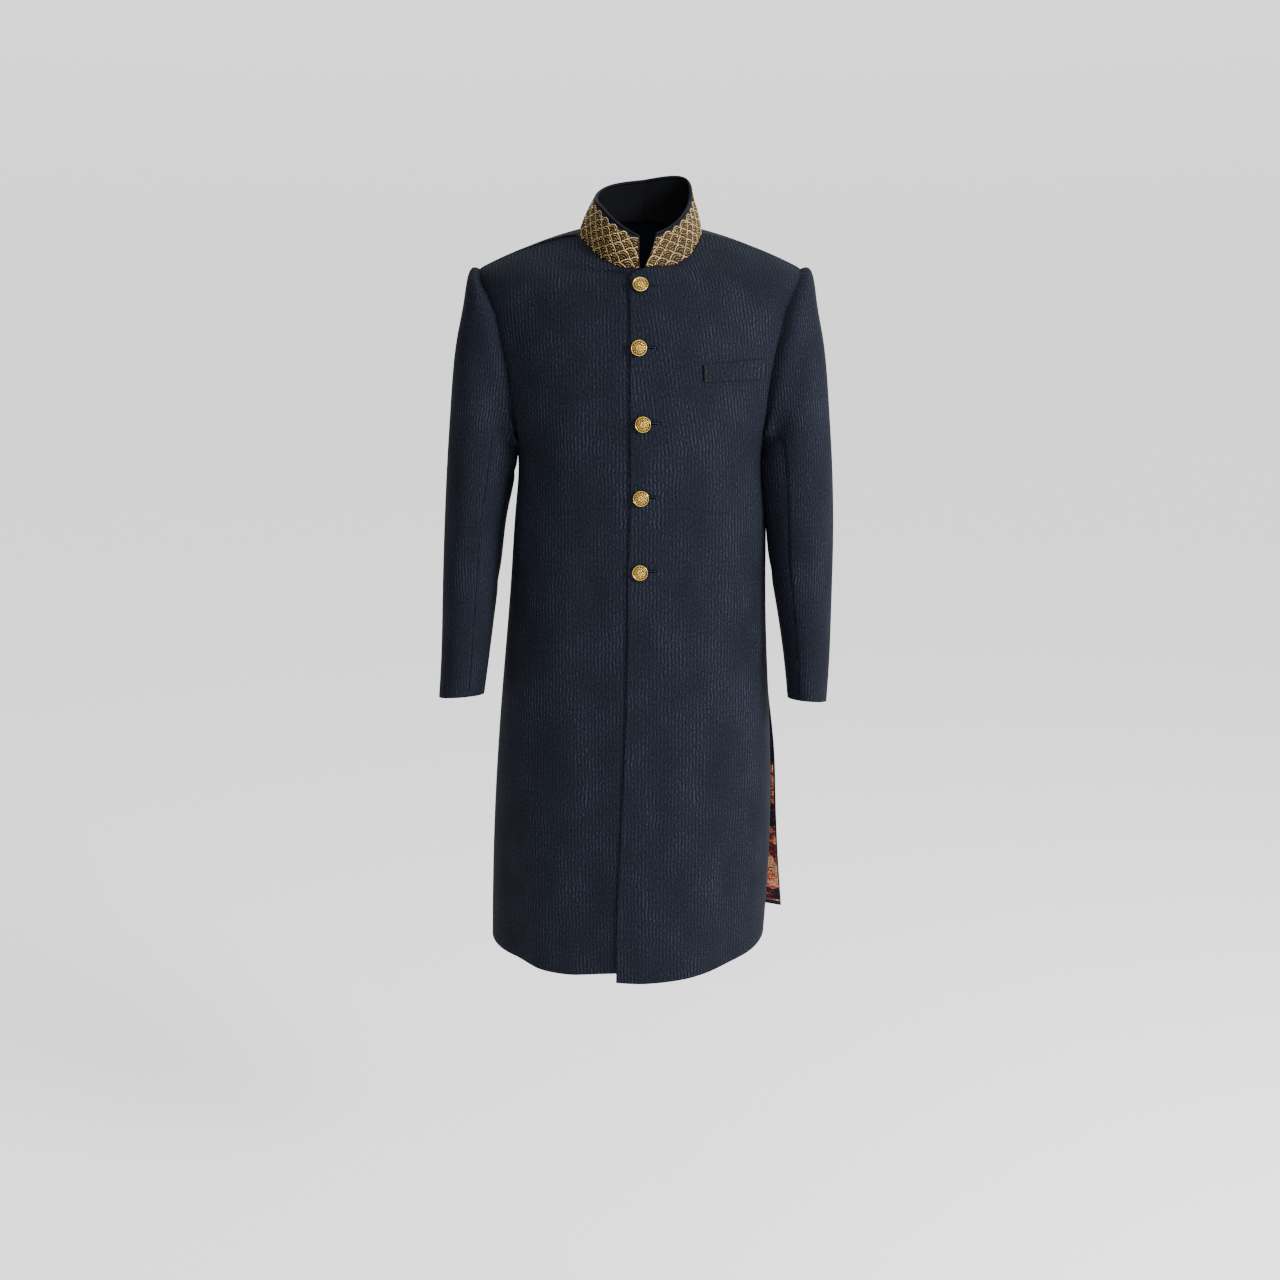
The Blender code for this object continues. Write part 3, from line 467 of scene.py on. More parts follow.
def cloth_wall(name, outer, normals, wall, uv, material, sewn=()):
    """A cloth wall: its outer face, its inner face and the turn between them, round where an edge
    is free and tight where it is sewn. The edges are first and last row, first and last column."""
    rows, columns = outer.shape[:2]
    out, turn_size = np.zeros_like(outer), np.zeros(outer.shape[:2] + (1,))
    for name_of, edge, inside in (
        ("first_row", (0,), (1,)),
        ("last_row", (-1,), (-2,)),
        ("first_column", (slice(None), 0), (slice(None), 1)),
        ("last_column", (slice(None), -1), (slice(None), -2)),
    ):
        step = outer[edge] - outer[inside]
        step = step - normals[edge] * (step * normals[edge]).sum(axis=-1, keepdims=True)
        out[edge] += unit(step)
        turn_size[edge] = np.maximum(turn_size[edge], SEWN_TURN if name_of in sewn else 1.0)
    length = np.linalg.norm(out, axis=2, keepdims=True)
    out = np.where(length > 0, out / np.maximum(length, 1e-9), 0) * turn_size
    outer = outer - out * wall / 2
    inner = outer - normals * wall
    count = rows * columns
    border = [(i, 0) for i in range(rows - 1, 0, -1)] + [(0, j) for j in range(columns - 1)]
    border += [(i, columns - 1) for i in range(rows - 1)] + [(rows - 1, j) for j in range(columns - 1, 0, -1)]
    i, j = np.array(border).T
    middle = outer[i, j] - normals[i, j] * wall / 2
    turns = [
        middle + wall / 2 * (math.cos(turn) * normals[i, j] + math.sin(turn) * out[i, j]) for turn in EDGE_TURNS
    ]
    points = np.concatenate([outer.reshape(-1, 3), inner.reshape(-1, 3), *turns])
    places = np.concatenate([uv.reshape(-1, 2)] * 2 + [uv[i, j]] * len(turns))
    a = (np.arange(rows - 1)[:, None] * columns + np.arange(columns - 1)).ravel()
    outer_faces = np.stack([a, a + 1, a + columns + 1, a + columns], axis=1)
    faces = [outer_faces, outer_faces[:, ::-1] + count]
    first = i * columns + j
    size = len(border)
    loops = [first] + [2 * count + k * size + np.arange(size) for k in range(len(turns))] + [first + count]
    for near, far in zip(loops, loops[1:]):
        faces.append(np.stack([np.roll(near, -1), near, far, np.roll(far, -1)], axis=1))
    piece = add_mesh(name, points, np.concatenate(faces), places, material)
    piece.data.set_sharp_from_angle(angle=SHARP_ANGLE)
    return piece


def linear(code):
    """The linear colour of an sRGB hex code, for a shader."""
    values = [int(code[k:k + 2], 16) / 255 for k in (1, 3, 5)]
    return tuple(v / 12.92 if v <= 0.04045 else ((v + 0.055) / 1.055) ** 2.4 for v in values) + (1.0,)


def new_material(name, values):
    """A material, its node tree and its shader with these plain values."""
    material = bpy.data.materials.new(name)
    material.use_nodes = True
    shader = material.node_tree.nodes["Principled BSDF"]
    for key, value in values.items():
        shader.inputs[key].default_value = value
    return material, material.node_tree, shader


def add_node(tree, kind, settings=None, *inputs, **named):
    """A node with its settings, or its operation alone, and its inputs set in order or by name from
    values or other nodes."""
    node = tree.nodes.new("ShaderNode" + kind)
    if isinstance(settings, str):
        settings = {"operation": settings}
    for key, value in (settings or {}).items():
        if key == "ramp":
            while len(node.color_ramp.elements) < len(value):
                node.color_ramp.elements.new(1.0)
            for element, (place, colour) in zip(node.color_ramp.elements, value):
                element.position = place
                element.color = linear(colour)
        else:
            setattr(node, key, value)
    for key, value in (*enumerate(inputs), *named.items()):
        socket = node.inputs[key if isinstance(key, int) else key.replace("_", " ")]
        if isinstance(value, bpy.types.Node):
            value = value.outputs[0]
        if isinstance(value, bpy.types.NodeSocket):
            tree.links.new(value, socket)
        elif value is not None:
            socket.default_value = value
    return node


def feed(shader, colour, bump=None):
    """Links a colour, and a bump if there is one, into a shader."""
    links = shader.id_data.links
    links.new(colour.outputs[0], shader.inputs["Base Color"])
    if bump:
        links.new(bump.outputs[0], shader.inputs["Normal"])


# Navy jacquard: a wool and viscose weave with low self-ribs up the cloth, broken into short dashes
# of dots, clear in some patches and lost in others. It looks matt, near black between the ribs.
RIB_PITCH = 0.0053
DASH_LENGTH = 0.0062
PATCH_WIDE, PATCH_LONG = 0.050, 0.090
# Real picks are 0.5 mm apart, drawn five times as coarse so that they show
PICK_PITCH = 0.0026
GRAIN_WIDE, GRAIN_LONG = 0.0021, 0.0040
# Ribs step aside by up to half a pitch every few centimetres, which staggers the dashes
STAGGER_WIDE, STAGGER_LONG = 0.040, 0.022
RIB_HEIGHT = 0.00045

navy, tree, shader = new_material(
    "navy_wool_jacquard",
    {"Roughness": 0.85, "Specular IOR Level": 0.05, "Sheen Weight": 0.01, "Sheen Roughness": 0.45,
     "Sheen Tint": linear("#9aa2b4")},
)
place = add_node(tree, "UVMap", {"uv_map": "cloth"})
split = add_node(tree, "SeparateXYZ", None, place)
patches = add_node(
    tree, "TexNoise", None,
    add_node(tree, "Mapping", None, place, Scale=(1 / PATCH_WIDE, 1 / PATCH_LONG, 1)),
    Scale=1.0, Detail=2.0,
)
clear = add_node(tree, "MapRange", None, patches, 0.36, 0.62, 0.25, 1.0)
stagger = add_node(
    tree, "TexNoise", None,
    add_node(tree, "Mapping", None, place, (0.4, 0.7, 0), Scale=(1 / STAGGER_WIDE, 1 / STAGGER_LONG, 1)),
    Scale=1.0, Detail=1.0,
)
across = add_node(
    tree, "Math", "MULTIPLY_ADD", split.outputs["X"], 1 / RIB_PITCH,
    add_node(tree, "Math", "MULTIPLY", stagger, 1.1),
)
column = add_node(tree, "Math", "FLOOR", across)
dashes = add_node(
    tree, "TexNoise", None,
    add_node(
        tree, "CombineXYZ", None,
        add_node(tree, "Math", "MULTIPLY", column, 7.31),
        add_node(tree, "Math", "MULTIPLY", split.outputs["Y"], 1 / DASH_LENGTH),
    ),
    Scale=1.0, Detail=2.0,
)
broken = add_node(tree, "MapRange", None, dashes, 0.38, 0.60, -0.1, 1.0)
ribs = add_node(
    tree, "Math", "SINE",
    add_node(
        tree, "Math", "MULTIPLY_ADD",
        add_node(tree, "Math", "FRACT", across), 2 * math.pi, -math.pi / 2,
    ),
)
ribs = add_node(tree, "Math", "MULTIPLY", ribs, add_node(tree, "Math", "MULTIPLY", clear, broken))
picks = add_node(
    tree, "Math", "SINE",
    add_node(
        tree, "Math", "MULTIPLY_ADD", split.outputs["Y"], 2 * math.pi / PICK_PITCH,
        add_node(tree, "Math", "MULTIPLY", column, math.pi),
    ),
)
ribs = add_node(tree, "Math", "MULTIPLY", ribs, add_node(tree, "Math", "MULTIPLY_ADD", picks, 0.35, 0.75))
grain = add_node(
    tree, "TexNoise", None,
    add_node(tree, "Mapping", None, place, (0.1, 0.9, 0), Scale=(1 / GRAIN_WIDE, 1 / GRAIN_LONG, 1)),
    Scale=1.0, Detail=2.0, Roughness=0.6,
)
height = add_node(
    tree, "Math", "MULTIPLY_ADD", ribs, 0.24,
    add_node(tree, "Math", "MULTIPLY_ADD", grain, 0.45, 0.28),
)
height = add_node(tree, "Math", "MULTIPLY_ADD", picks, 0.05, height)
tone = add_node(tree, "Math", "MULTIPLY_ADD", patches, 0.15, height)
colour = add_node(
    tree, "ValToRGB",
    {"ramp": ((0.32, "#030406"), (0.50, "#0c0e14"), (0.68, "#191c26"), (0.92, "#30343f"))}, tone,
)
bump = add_node(tree, "Bump", None, 1.0, RIB_HEIGHT, Height=height)
feed(shader, colour, bump)

# The cloth of each panel that shows, without its seam allowances, as widest, longest and area
Cut = namedtuple("Cut", "width length area")
CUTS = {
    "right_front": Cut(0.334, 1.190, 0.3184),
    "left_front": Cut(0.311, 1.200, 0.2975),
    "right_back": Cut(0.258, 1.200, 0.2572),
    "left_back": Cut(0.245, 1.200, 0.2497),
}
GRIDS = {panel: panel_grid(panel) for panel in CUTS}
SEWN = {"front": ("last_row",), "back": ("last_row", "first_column")}
for panel, cut in CUTS.items():
    grid, normals, places = GRIDS[panel]
    piece = cloth_wall(f"{panel}_cloth", grid, normals, WALL, places, navy, SEWN[panel.split("_")[1]])
    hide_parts(panel)

# ---------------------------------------------------------------- sleeves
# Two-piece tailored sleeves of the same jacquard: a wide top part and a narrow under part, set
# into the armholes with a little fullness at the crown and bent softly at the elbow.

# The sleeve's oval at each ring down the arm: its outer and inner point, how far it reaches forward
# and back, how much its front is raised, and where its two seams run in degrees
Ring = namedtuple(
    "Ring",
    "name left_outer right_outer outer_z left_inner right_inner inner_z "
    "front_y back_y front_rise front_seam back_seam",
)
RINGS = (
    Ring("seam", 0.2285, 0.2285, -0.036, 0.1800, 0.1790, -0.292, -0.066, 0.064, 0, 160, -112),
    Ring("rope", 0.2385, 0.2375, -0.034, 0.1828, 0.1828, -0.2915, -0.072, 0.070, 0, 150, -110),
    Ring("cap", 0.2520, 0.2510, -0.073, 0.1845, 0.1845, -0.2935, -0.077, 0.074, 0, 135, -108),
    Ring("upper", 0.2625, 0.2625, -0.133, 0.1842, 0.1840, -0.3000, -0.079, 0.075, 0, 120, -106),
    Ring("biceps", 0.2725, 0.2730, -0.220, 0.1822, 0.1822, -0.3180, -0.080, 0.073, 0, 110, -105),
    Ring("arm", 0.2795, 0.2805, -0.310, 0.1838, 0.1872, -0.3520, -0.080, 0.068, 0, 107, -105),
    Ring("above_elbow", 0.2830, 0.2855, -0.385, 0.1856, 0.1965, -0.395, -0.079, 0.062, 0, 107, -105),
    Ring("elbow", 0.2835, 0.2885, -0.445, 0.1892, 0.2030, -0.445, -0.080, 0.055, 0.002, 108, -105),
    Ring("forearm", 0.2820, 0.2910, -0.520, 0.2015, 0.2130, -0.520, -0.085, 0.041, 0.004, 110, -106),
    Ring("lower", 0.2795, 0.2935, -0.600, 0.2135, 0.2235, -0.600, -0.091, 0.022, 0.006, 113, -107),
    Ring("cuff", 0.2755, 0.2970, -0.660, 0.2190, 0.2310, -0.656, -0.096, 0.004, 0.008, 116, -108),
)
SLEEVE_ROUND = 2.2
# The sleeve's mean radius, which turns angles round it into distances
SLEEVE_RADIUS = 0.05
# The arm's middle line and half sizes by height, for the grain: it runs inside the shoulder at the top
Bone = namedtuple("Bone", "z out back half_out half_back")
BONES = (
    Bone(-0.030, 0.2030, -0.001, 0.045, 0.074),
    Bone(-0.269, 0.2275, -0.003, 0.045, 0.0765),
    Bone(-0.331, 0.2325, -0.006, 0.047, 0.074),
    Bone(-0.445, 0.2405, -0.0125, 0.045, 0.0675),
    Bone(-0.520, 0.2450, -0.022, 0.040, 0.063),
    Bone(-0.660, 0.2555, -0.046, 0.030, 0.050),
)
# Degrees between a seam and the columns beside it, and the reach of the armhole's own shape
SEAM_STEP = 2
SEAM_BLEND = 0.060
HEAD_PLACES = (0, 0.002, 0.005, 0.008, 0.012, 0.017, 0.023, 0.030, 0.038, 0.047, 0.057, 0.068, 0.080, 0.092)
ARM_RINGS = 62
LEFT_SEAM_TURN = 9
RIGHT_CUFF_LIFT = 0.006
# Puckers of the eased crown: their number round the armhole, depth and reach down the sleeve
PUCKERS = 34
PUCKER_DEPTH = 0.0003
PUCKER_START = 0.002
PUCKER_REACH = 0.026
# Cosines of the angles round the sleeve between which the puckers fade in
CROWN = (0.1, 0.8)
# The allowances pressed open under the seams raise the cloth beside them
SEAM_RIDGE = 0.0007
SEAM_RIDGE_AT = 0.0050
SEAM_RIDGE_WIDTH = 0.0030
# Creases start this far below the armhole seam
RELIEF_START = 0.012
SLEEVE_FADING = 1.2
SLEEVE_FLANK = 1.2

# Creases of the sleeves: angles round the sleeve (0 outward, 90 forward) and distances down it
SleeveCrease = namedtuple("SleeveCrease", "from_angle from_down to_angle to_down rise width")
SLEEVE_CREASES = {
    "left": (
        SleeveCrease(156, -0.100, 150, 0.290, 0.0125, 0.020),
        SleeveCrease(20, 0.250, 100, 0.225, -0.0019, 0.010),
        SleeveCrease(30, 0.300, 108, 0.262, 0.0016, 0.012),
        SleeveCrease(40, 0.335, 112, 0.318, -0.0020, 0.010),
        SleeveCrease(55, 0.372, 118, 0.395, 0.0014, 0.012),
        SleeveCrease(-60, 0.380, 10, 0.355, -0.0014, 0.014),
        SleeveCrease(150, 0.120, 210, 0.150, -0.0020, 0.011),
        SleeveCrease(160, 0.330, 230, 0.300, -0.0016, 0.012),
        SleeveCrease(-110, 0.180, -40, 0.240, -0.0015, 0.014),
        SleeveCrease(60, 0.480, 30, 0.590, -0.0011, 0.014),
    ),
    "right": (
        SleeveCrease(156, -0.075, 150, 0.150, 0.0125, 0.020),
        SleeveCrease(25, 0.268, 104, 0.238, -0.0017, 0.011),
        SleeveCrease(45, 0.322, 110, 0.290, 0.0014, 0.012),
        SleeveCrease(50, 0.352, 114, 0.346, -0.0018, 0.010),
        SleeveCrease(-70, 0.400, 0, 0.362, -0.0014, 0.013),
        SleeveCrease(150, 0.115, 205, 0.145, -0.0020, 0.011),
        SleeveCrease(165, 0.350, 228, 0.312, -0.0016, 0.012),
        SleeveCrease(-115, 0.200, -45, 0.252, -0.0015, 0.013),
        SleeveCrease(70, 0.500, 40, 0.600, -0.0010, 0.015),
    ),
}


def armhole(side):
    """The armhole's loop from the shoulder down the front, round the underarm and up the back:
    points, outward normals of the cloth there, and the direction out of the armhole."""
    edges = []
    for kind in ("front", "back"):
        grid, normals, _ = (values[panel_ups() >= UNDERARM] for values in GRIDS[f"{side}_{kind}"])
        out = np.cross(np.gradient(grid[:, -1], axis=0), normals[:, -1])
        out *= np.sign((out * (grid[:, -1] - grid[:, -2])).sum(axis=1, keepdims=True))
        edges.append((grid[:, -1], normals[:, -1], unit(out)))
    loop = []
    for front, back in zip(*edges):
        top, low = (front[-1] + back[-1]) / 2, (front[0] + back[0]) / 2
        loop.append(np.concatenate([[top], front[-2:0:-1], [low], back[1:-1], [top]]))
    return loop


def loop_angles(points):
    """The sleeve's angle at each point of the armhole, 0 at the shoulder and 180 at the underarm."""
    steps, low = walked(points), len(points) // 2
    front = 180 * steps[: low + 1] / steps[low]
    back = 180 + 180 * (steps[low:] - steps[low]) / (steps[-1] - steps[low])
    return np.concatenate([front, back[1:]])


def ring_points(sizes, angle, sign):
    """An oval ring: its long axis from the inner to the outer point, its short one front to back."""
    outer_x, outer_z, inner_x, inner_z, front_y, back_y, rise = sizes[:7]
    turn = np.radians(angle)
    out = np.sign(np.cos(turn)) * np.abs(np.cos(turn)) ** (2 / SLEEVE_ROUND)
    forward = np.sign(np.sin(turn)) * np.abs(np.sin(turn)) ** (2 / SLEEVE_ROUND)
    x = (outer_x + inner_x) / 2 + (outer_x - inner_x) / 2 * out
    z = (outer_z + inner_z) / 2 + (outer_z - inner_z) / 2 * out + rise * forward
    y = (front_y + back_y) / 2 + (front_y - back_y) / 2 * forward
    return np.stack([sign * x, y, z], axis=1)


def sleeve_relief(side, angle, down):
    """Elbow and underarm creases, and the puckers of the crown."""
    rise = np.zeros_like(angle)
    for crease in SLEEVE_CREASES[side]:
        start = math.radians(crease.from_angle) * SLEEVE_RADIUS, crease.from_down
        end = math.radians(crease.to_angle) * SLEEVE_RADIUS, crease.to_down
        for turn in (-360, 0, 360):
            at = np.radians(angle + turn) * SLEEVE_RADIUS
            rise += crease_rise(crease, start, end, at, down, SLEEVE_FADING, SLEEVE_FLANK)
    crown = smooth_step(np.cos(np.radians(angle)), *CROWN)
    crown = crown * (1 - smooth_step(down, PUCKER_START, PUCKER_REACH))
    return rise + PUCKER_DEPTH * crown * np.sin(np.radians(angle) * PUCKERS)


def sleeve_cloth(grid, part):
    """Cloth coordinates of a sleeve part: round the arm from its own middle line, and down it."""
    z = grid[..., 2]
    heights = [-bone.z for bone in BONES]
    out, back, half_out, half_back = (np.interp(-z, heights, [bone[k] for bone in BONES]) for k in range(1, 5))
    turn = np.arctan2((back - grid[..., 1]) / half_back, (np.abs(grid[..., 0]) - out) / half_out)
    if part == "under":
        turn = np.mod(turn, 2 * math.pi) - math.pi
    return np.stack([turn * np.sqrt((half_out**2 + half_back**2) / 2), z], axis=-1)


def sleeve_grid(side, part):
    """Outer points, normals and cloth coordinates of a part of the sleeve, rings from the armhole down."""
    sign = 1 if side == "left" else -1
    table = np.array(
        [
            (getattr(r, side + "_outer"), r.outer_z, getattr(r, side + "_inner"), r.inner_z)
            + (r.front_y, r.back_y, r.front_rise, r.front_seam, r.back_seam)
            for r in RINGS
        ],
        float,
    )
    table[:, -2] += LEFT_SEAM_TURN if side == "left" else 0
    middle = (table[:, 0:2] + table[:, 2:4]) / 2
    keys = walked(middle)
    places = np.concatenate([HEAD_PLACES, np.linspace(HEAD_PLACES[-1], keys[-1], ARM_RINGS + 1)[1:]])
    loop = armhole(side)
    angles = loop_angles(loop[0])
    seam = math.degrees(SEAM_GAP / 2 / SLEEVE_RADIUS)

    def seams(sizes):
        front, back = sizes[-2:]
        return (back + seam, front - seam) if part == "top" else (front + seam, 360 + back - seam)

    def edge_at(angle):
        return [read_at(np.mod(angle, 360), angles, values) for values in loop]

    start, end = seams(table[0])
    turned = np.concatenate([angles - 360, angles[1:]])
    inside = turned[(turned > start + SEAM_STEP) & (turned < end - SEAM_STEP)]
    by_edge = np.array([-SEAM_STEP, 0, SEAM_STEP])
    columns = np.concatenate([start + by_edge, inside, end + by_edge])
    shares = (columns - start) / (end - start)
    edge, seam_normals, away = edge_at(columns)
    rings, rises = [edge + away * SEAM_GAP], [np.zeros(len(columns))]
    for place in places[1:]:
        sizes = spline(keys, table, [place])[0]
        if side == "right":
            sizes[[1, 3]] += RIGHT_CUFF_LIFT * (place / keys[-1]) ** 2
        start, end = seams(sizes)
        angle = start + shares * (end - start)
        lean = edge_at(angle)[0] - ring_points(table[0], angle, sign)
        rings.append(ring_points(sizes, angle, sign) + lean * (1 - smooth_step(place, 0, SEAM_BLEND)))
        by_seam = np.radians(np.minimum(angle - start, end - angle)) * SLEEVE_RADIUS
        dip = SEAM_RIDGE * bell(by_seam - SEAM_RIDGE_AT, SEAM_RIDGE_WIDTH)
        dip -= SEAM_DIP * bell(by_seam, SEAM_DIP_WIDTH)
        rises.append(sleeve_relief(side, angle, place) * smooth_step(place, 0, RELIEF_START) + dip)
    grid = np.array(rings)
    normals = grid_normals(grid, sign)
    grid = grid + normals * np.array(rises)[..., None]
    normals = grid_normals(grid, sign)
    normals[0] = seam_normals
    kept = np.delete(np.arange(len(columns)), [0, 2, -3, -1])
    return grid[:, kept], normals[:, kept], sleeve_cloth(grid[:, kept], part)


SLEEVE_CUTS = {
    ("right", "top"): Cut(0.300, 0.645, 0.1328),
    ("right", "under"): Cut(0.180, 0.497, 0.0589),
    ("left", "top"): Cut(0.310, 0.651, 0.1381),
    ("left", "under"): Cut(0.172, 0.502, 0.0564),
}
for (side, part), cut in SLEEVE_CUTS.items():
    grid, normals, places = sleeve_grid(side, part)
    piece = cloth_wall(f"{side}_{part}_sleeve_cloth", grid, normals, WALL, places, navy)
    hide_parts(f"{side}_{part}_sleeve")

# ---------------------------------------------------------------- stand collar
# An interlined band sewn to the neck edge, with a cotton facing inside and a navy bias piping over
# the top edge. It meets in a narrow V at the front.

# The collar's top edge from the front round to the back, left and right
Rim = namedtuple("Rim", "name left_x right_x y left_z right_z")
COLLAR_TOP = (
    Rim("front", 0.0, 0.0, -0.0770, 0.0050, 0.0010),
    Rim("front_quarter", 0.0405, 0.0345, -0.0650, 0.0140, 0.0215),
    Rim("side_front", 0.0640, 0.0560, -0.0350, 0.0355, 0.0430),
    Rim("side", 0.0730, 0.0655, 0.0, 0.0540, 0.0575),
    Rim("side_back", 0.0680, 0.0500, 0.0440, 0.0860, 0.0760),
    Rim("back", 0.0060, 0.0060, 0.0640, 0.0860, 0.0860),
)
COLLAR_BASE_ENDS = {"right": -0.0005, "left": 0.0065}
COLLAR_TOP_ENDS = {"right": -0.0005, "left": 0.0215}
COLLAR_BULGE = 0.0025
BAND_WALL = 0.0022
STAND_WALL = 0.0018
# The band is sewn down on the neck edge
COLLAR_LIFT = -0.0010
FRONT_LIFT = 0.0010
FRONT_LIFT_END = 0.25
COLLAR_COLUMNS = 144
CURVE_STEPS = 200
STAND_SHORT = 2
COLLAR_ROWS = 14
PIPING_HEIGHT = 0.0052
PIPING_PROUD = 0.0006
PIPING_SIDES = 16


def neckline(side):
    """The neckline's edge from the collar's front end to the back centre, one half."""
    before, after = GRIDS["left_front"][0][panel_ups() >= FRONT_NECK, 0][:2]
    start = before + (after - before) * before[0] / (before[0] - after[0])
    front = GRIDS[side + "_front"][0][panel_ups() > FRONT_NECK, 0]
    back = GRIDS[side + "_back"][0][panel_ups() >= BACK_NECK, 0]
    edge = np.concatenate([[start], front, back[-2::-1]])
    edge[-1, 0] = 0.0
    end, reach = abs(COLLAR_BASE_ENDS[side]), np.abs(edge[:, 0])
    first = int(np.argmax(reach > end))
    share = (end - reach[first - 1]) / (reach[first] - reach[first - 1])
    edge[first - 1] += (edge[first] - edge[first - 1]) * share
    return edge[first - 1:]


def along_line(points, share):
    """Points at shares of the length of a run of straight lines."""
    return read_at(share * walked(points)[-1], walked(points), points)


def along_curve(points, share):
    walk = walked(points)
    return along_line(spline(walk, points, np.linspace(0, walk[-1], CURVE_STEPS)), share)


def collar_rails():
    """The collar's base and top edge, from its right end round the back to its left end."""
    share = np.linspace(0, 1, COLLAR_COLUMNS // 2 + 1)
    halves = {}
    for side, sign in (("right", -1), ("left", 1)):
        rims = np.array([(sign * getattr(r, side + "_x"), r.y, getattr(r, side + "_z")) for r in COLLAR_TOP])
        rims[0, 0] = COLLAR_TOP_ENDS[side]
        rims[-1, 0] *= sign
        halves[side] = along_line(neckline(side), share), along_curve(rims, share)
    base, top = (
        np.concatenate([right, left[-2::-1]]) for right, left in zip(halves["right"], halves["left"])
    )
    rise = unit(top - base)
    from_front = 1 - np.abs(np.linspace(-1, 1, COLLAR_COLUMNS + 1))
    lift = COLLAR_LIFT + FRONT_LIFT * (1 - smooth_step(from_front, 0, FRONT_LIFT_END))
    return base + rise * lift[:, None], top


def collar_grid():
    base, top = collar_rails()
    shares = np.linspace(0, 1, COLLAR_ROWS + 1)
    grid = np.array([base + (top - base) * s for s in shares])
    normals = grid_normals(grid, 1)
    if ((grid - grid.mean(axis=(0, 1))) * normals).sum() < 0:
        normals = -normals
    grid = grid + normals * (COLLAR_BULGE * np.sin(math.pi * shares))[:, None, None]
    return grid, normals


collar, collar_normals = collar_grid()
collar_walk = walked(collar.mean(axis=0))
collar_height = np.linalg.norm(np.diff(collar, axis=0), axis=2).sum(axis=0)
# The columns lean towards the front ends, and the work is laid square to the band's length
collar_tangent = unit(np.gradient(collar.mean(axis=0), axis=0))
collar_lean = (unit(collar[0] - collar[-1]) * collar_tangent).sum(axis=1)
collar_down = np.linspace(1, 0, COLLAR_ROWS + 1)[:, None] * collar_height
collar_places = np.stack(
    [collar_walk + (collar_down - collar_height / 2) * collar_lean, collar_down * np.sqrt(1 - collar_lean**2)],
    axis=2,
)

# Scales of the work: their real pitch along the band and down it, and the first peaks' place
SCALE_PITCH = 0.0212
SCALE_TALL = 0.0083
SCALE_COLUMNS = 2 * round(collar_walk[-1] / SCALE_PITCH / 2)
SCALE_WIDTH = collar_walk[-1] / SCALE_COLUMNS
FIRST_PEAK = 0.0010
# The power of a scale's arch: 2 is a parabola
ARCH = 2.0

# Ground of the work: navy cloth that shows above the first scales, and maroon silk satin laid
# under the scales, nearly black between the gold threads.
# Its threads of 0.35 mm are drawn at twice that so that they show
SATIN_FLOAT, SATIN_THREAD = 0.0022, 0.0007
ground, tree, shader = new_material("maroon_silk_satin", {"Roughness": 0.6, "Specular IOR Level": 0.1})
place = add_node(tree, "UVMap", {"uv_map": "cloth"})
split = add_node(tree, "SeparateXYZ", None, place)
threads = add_node(
    tree, "TexNoise", None,
    add_node(tree, "Mapping", None, place, Scale=(1 / SATIN_FLOAT, 1 / SATIN_THREAD, 1)), Scale=1.0, Detail=2.0,
)
maroon = add_node(
    tree, "ValToRGB", {"ramp": ((0.36, "#080304"), (0.55, "#1a0a0a"), (0.72, "#301511"))}, threads,
)
blue = add_node(tree, "ValToRGB", {"ramp": ((0.36, "#06080d"), (0.70, "#121722"))}, threads)
turn = add_node(
    tree, "Math", "FRACT",
    add_node(tree, "Math", "MULTIPLY", split.outputs["X"], 1 / SCALE_WIDTH),
)
beside = add_node(tree, "Math", "ABSOLUTE", add_node(tree, "Math", "MULTIPLY_ADD", turn, 2.0, -1.0))
arch = add_node(
    tree, "Math", "MULTIPLY_ADD",
    add_node(tree, "Math", "POWER", beside, ARCH), SCALE_TALL, FIRST_PEAK,
)
worked = add_node(tree, "Math", "GREATER_THAN", split.outputs["Y"], arch)
colour = add_node(tree, "MixRGB", None, worked, blue, maroon)
bump = add_node(tree, "Bump", None, 1.0, 0.0003, Height=threads)
feed(shader, colour, bump)

band = cloth_wall("collar_band_cloth", collar, collar_normals, BAND_WALL, collar_places, ground)
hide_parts("collar_band")
inside = collar - collar_normals * BAND_WALL
# Collar stand facing: plain woven cotton, drawn all but black as painted shade for the dark inside of the collar.
# Its threads of 0.3 mm are drawn at 1 mm so that they show
FACING_THREAD = 0.001
facing, tree, shader = new_material("facing_painted_shade", {"Roughness": 0.9, "Specular IOR Level": 0.1})
place = add_node(tree, "UVMap", {"uv_map": "cloth"})
threads = add_node(tree, "TexNoise", None, place, Scale=1 / FACING_THREAD, Detail=2.0)
colour = add_node(tree, "ValToRGB", {"ramp": ((0.35, "#020203"), (0.70, "#08090c"))}, threads)
bump = add_node(tree, "Bump", None, 1.0, 0.0002, Height=threads)
feed(shader, colour, bump)
# The facing stops a little short of the band's front ends
kept = slice(STAND_SHORT, COLLAR_COLUMNS + 1 - STAND_SHORT)
stand = cloth_wall(
    "collar_stand_cloth", inside[:, kept], collar_normals[:, kept], STAND_WALL, collar_places[:, kept], facing
)
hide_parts("collar_stand")


def ring_faces(rings, sides):
    """The faces between rings of points, and over both ends."""
    i, j = (k.ravel() for k in np.meshgrid(np.arange(rings - 1), np.arange(sides), indexing="ij"))
    beside = (j + 1) % sides
    near, far = i * sides, (i + 1) * sides
    faces = np.stack([near + j, near + beside, far + beside, far + j], axis=1).tolist()
    return faces, list(range(sides))[::-1], [(rings - 1) * sides + j for j in range(sides)]


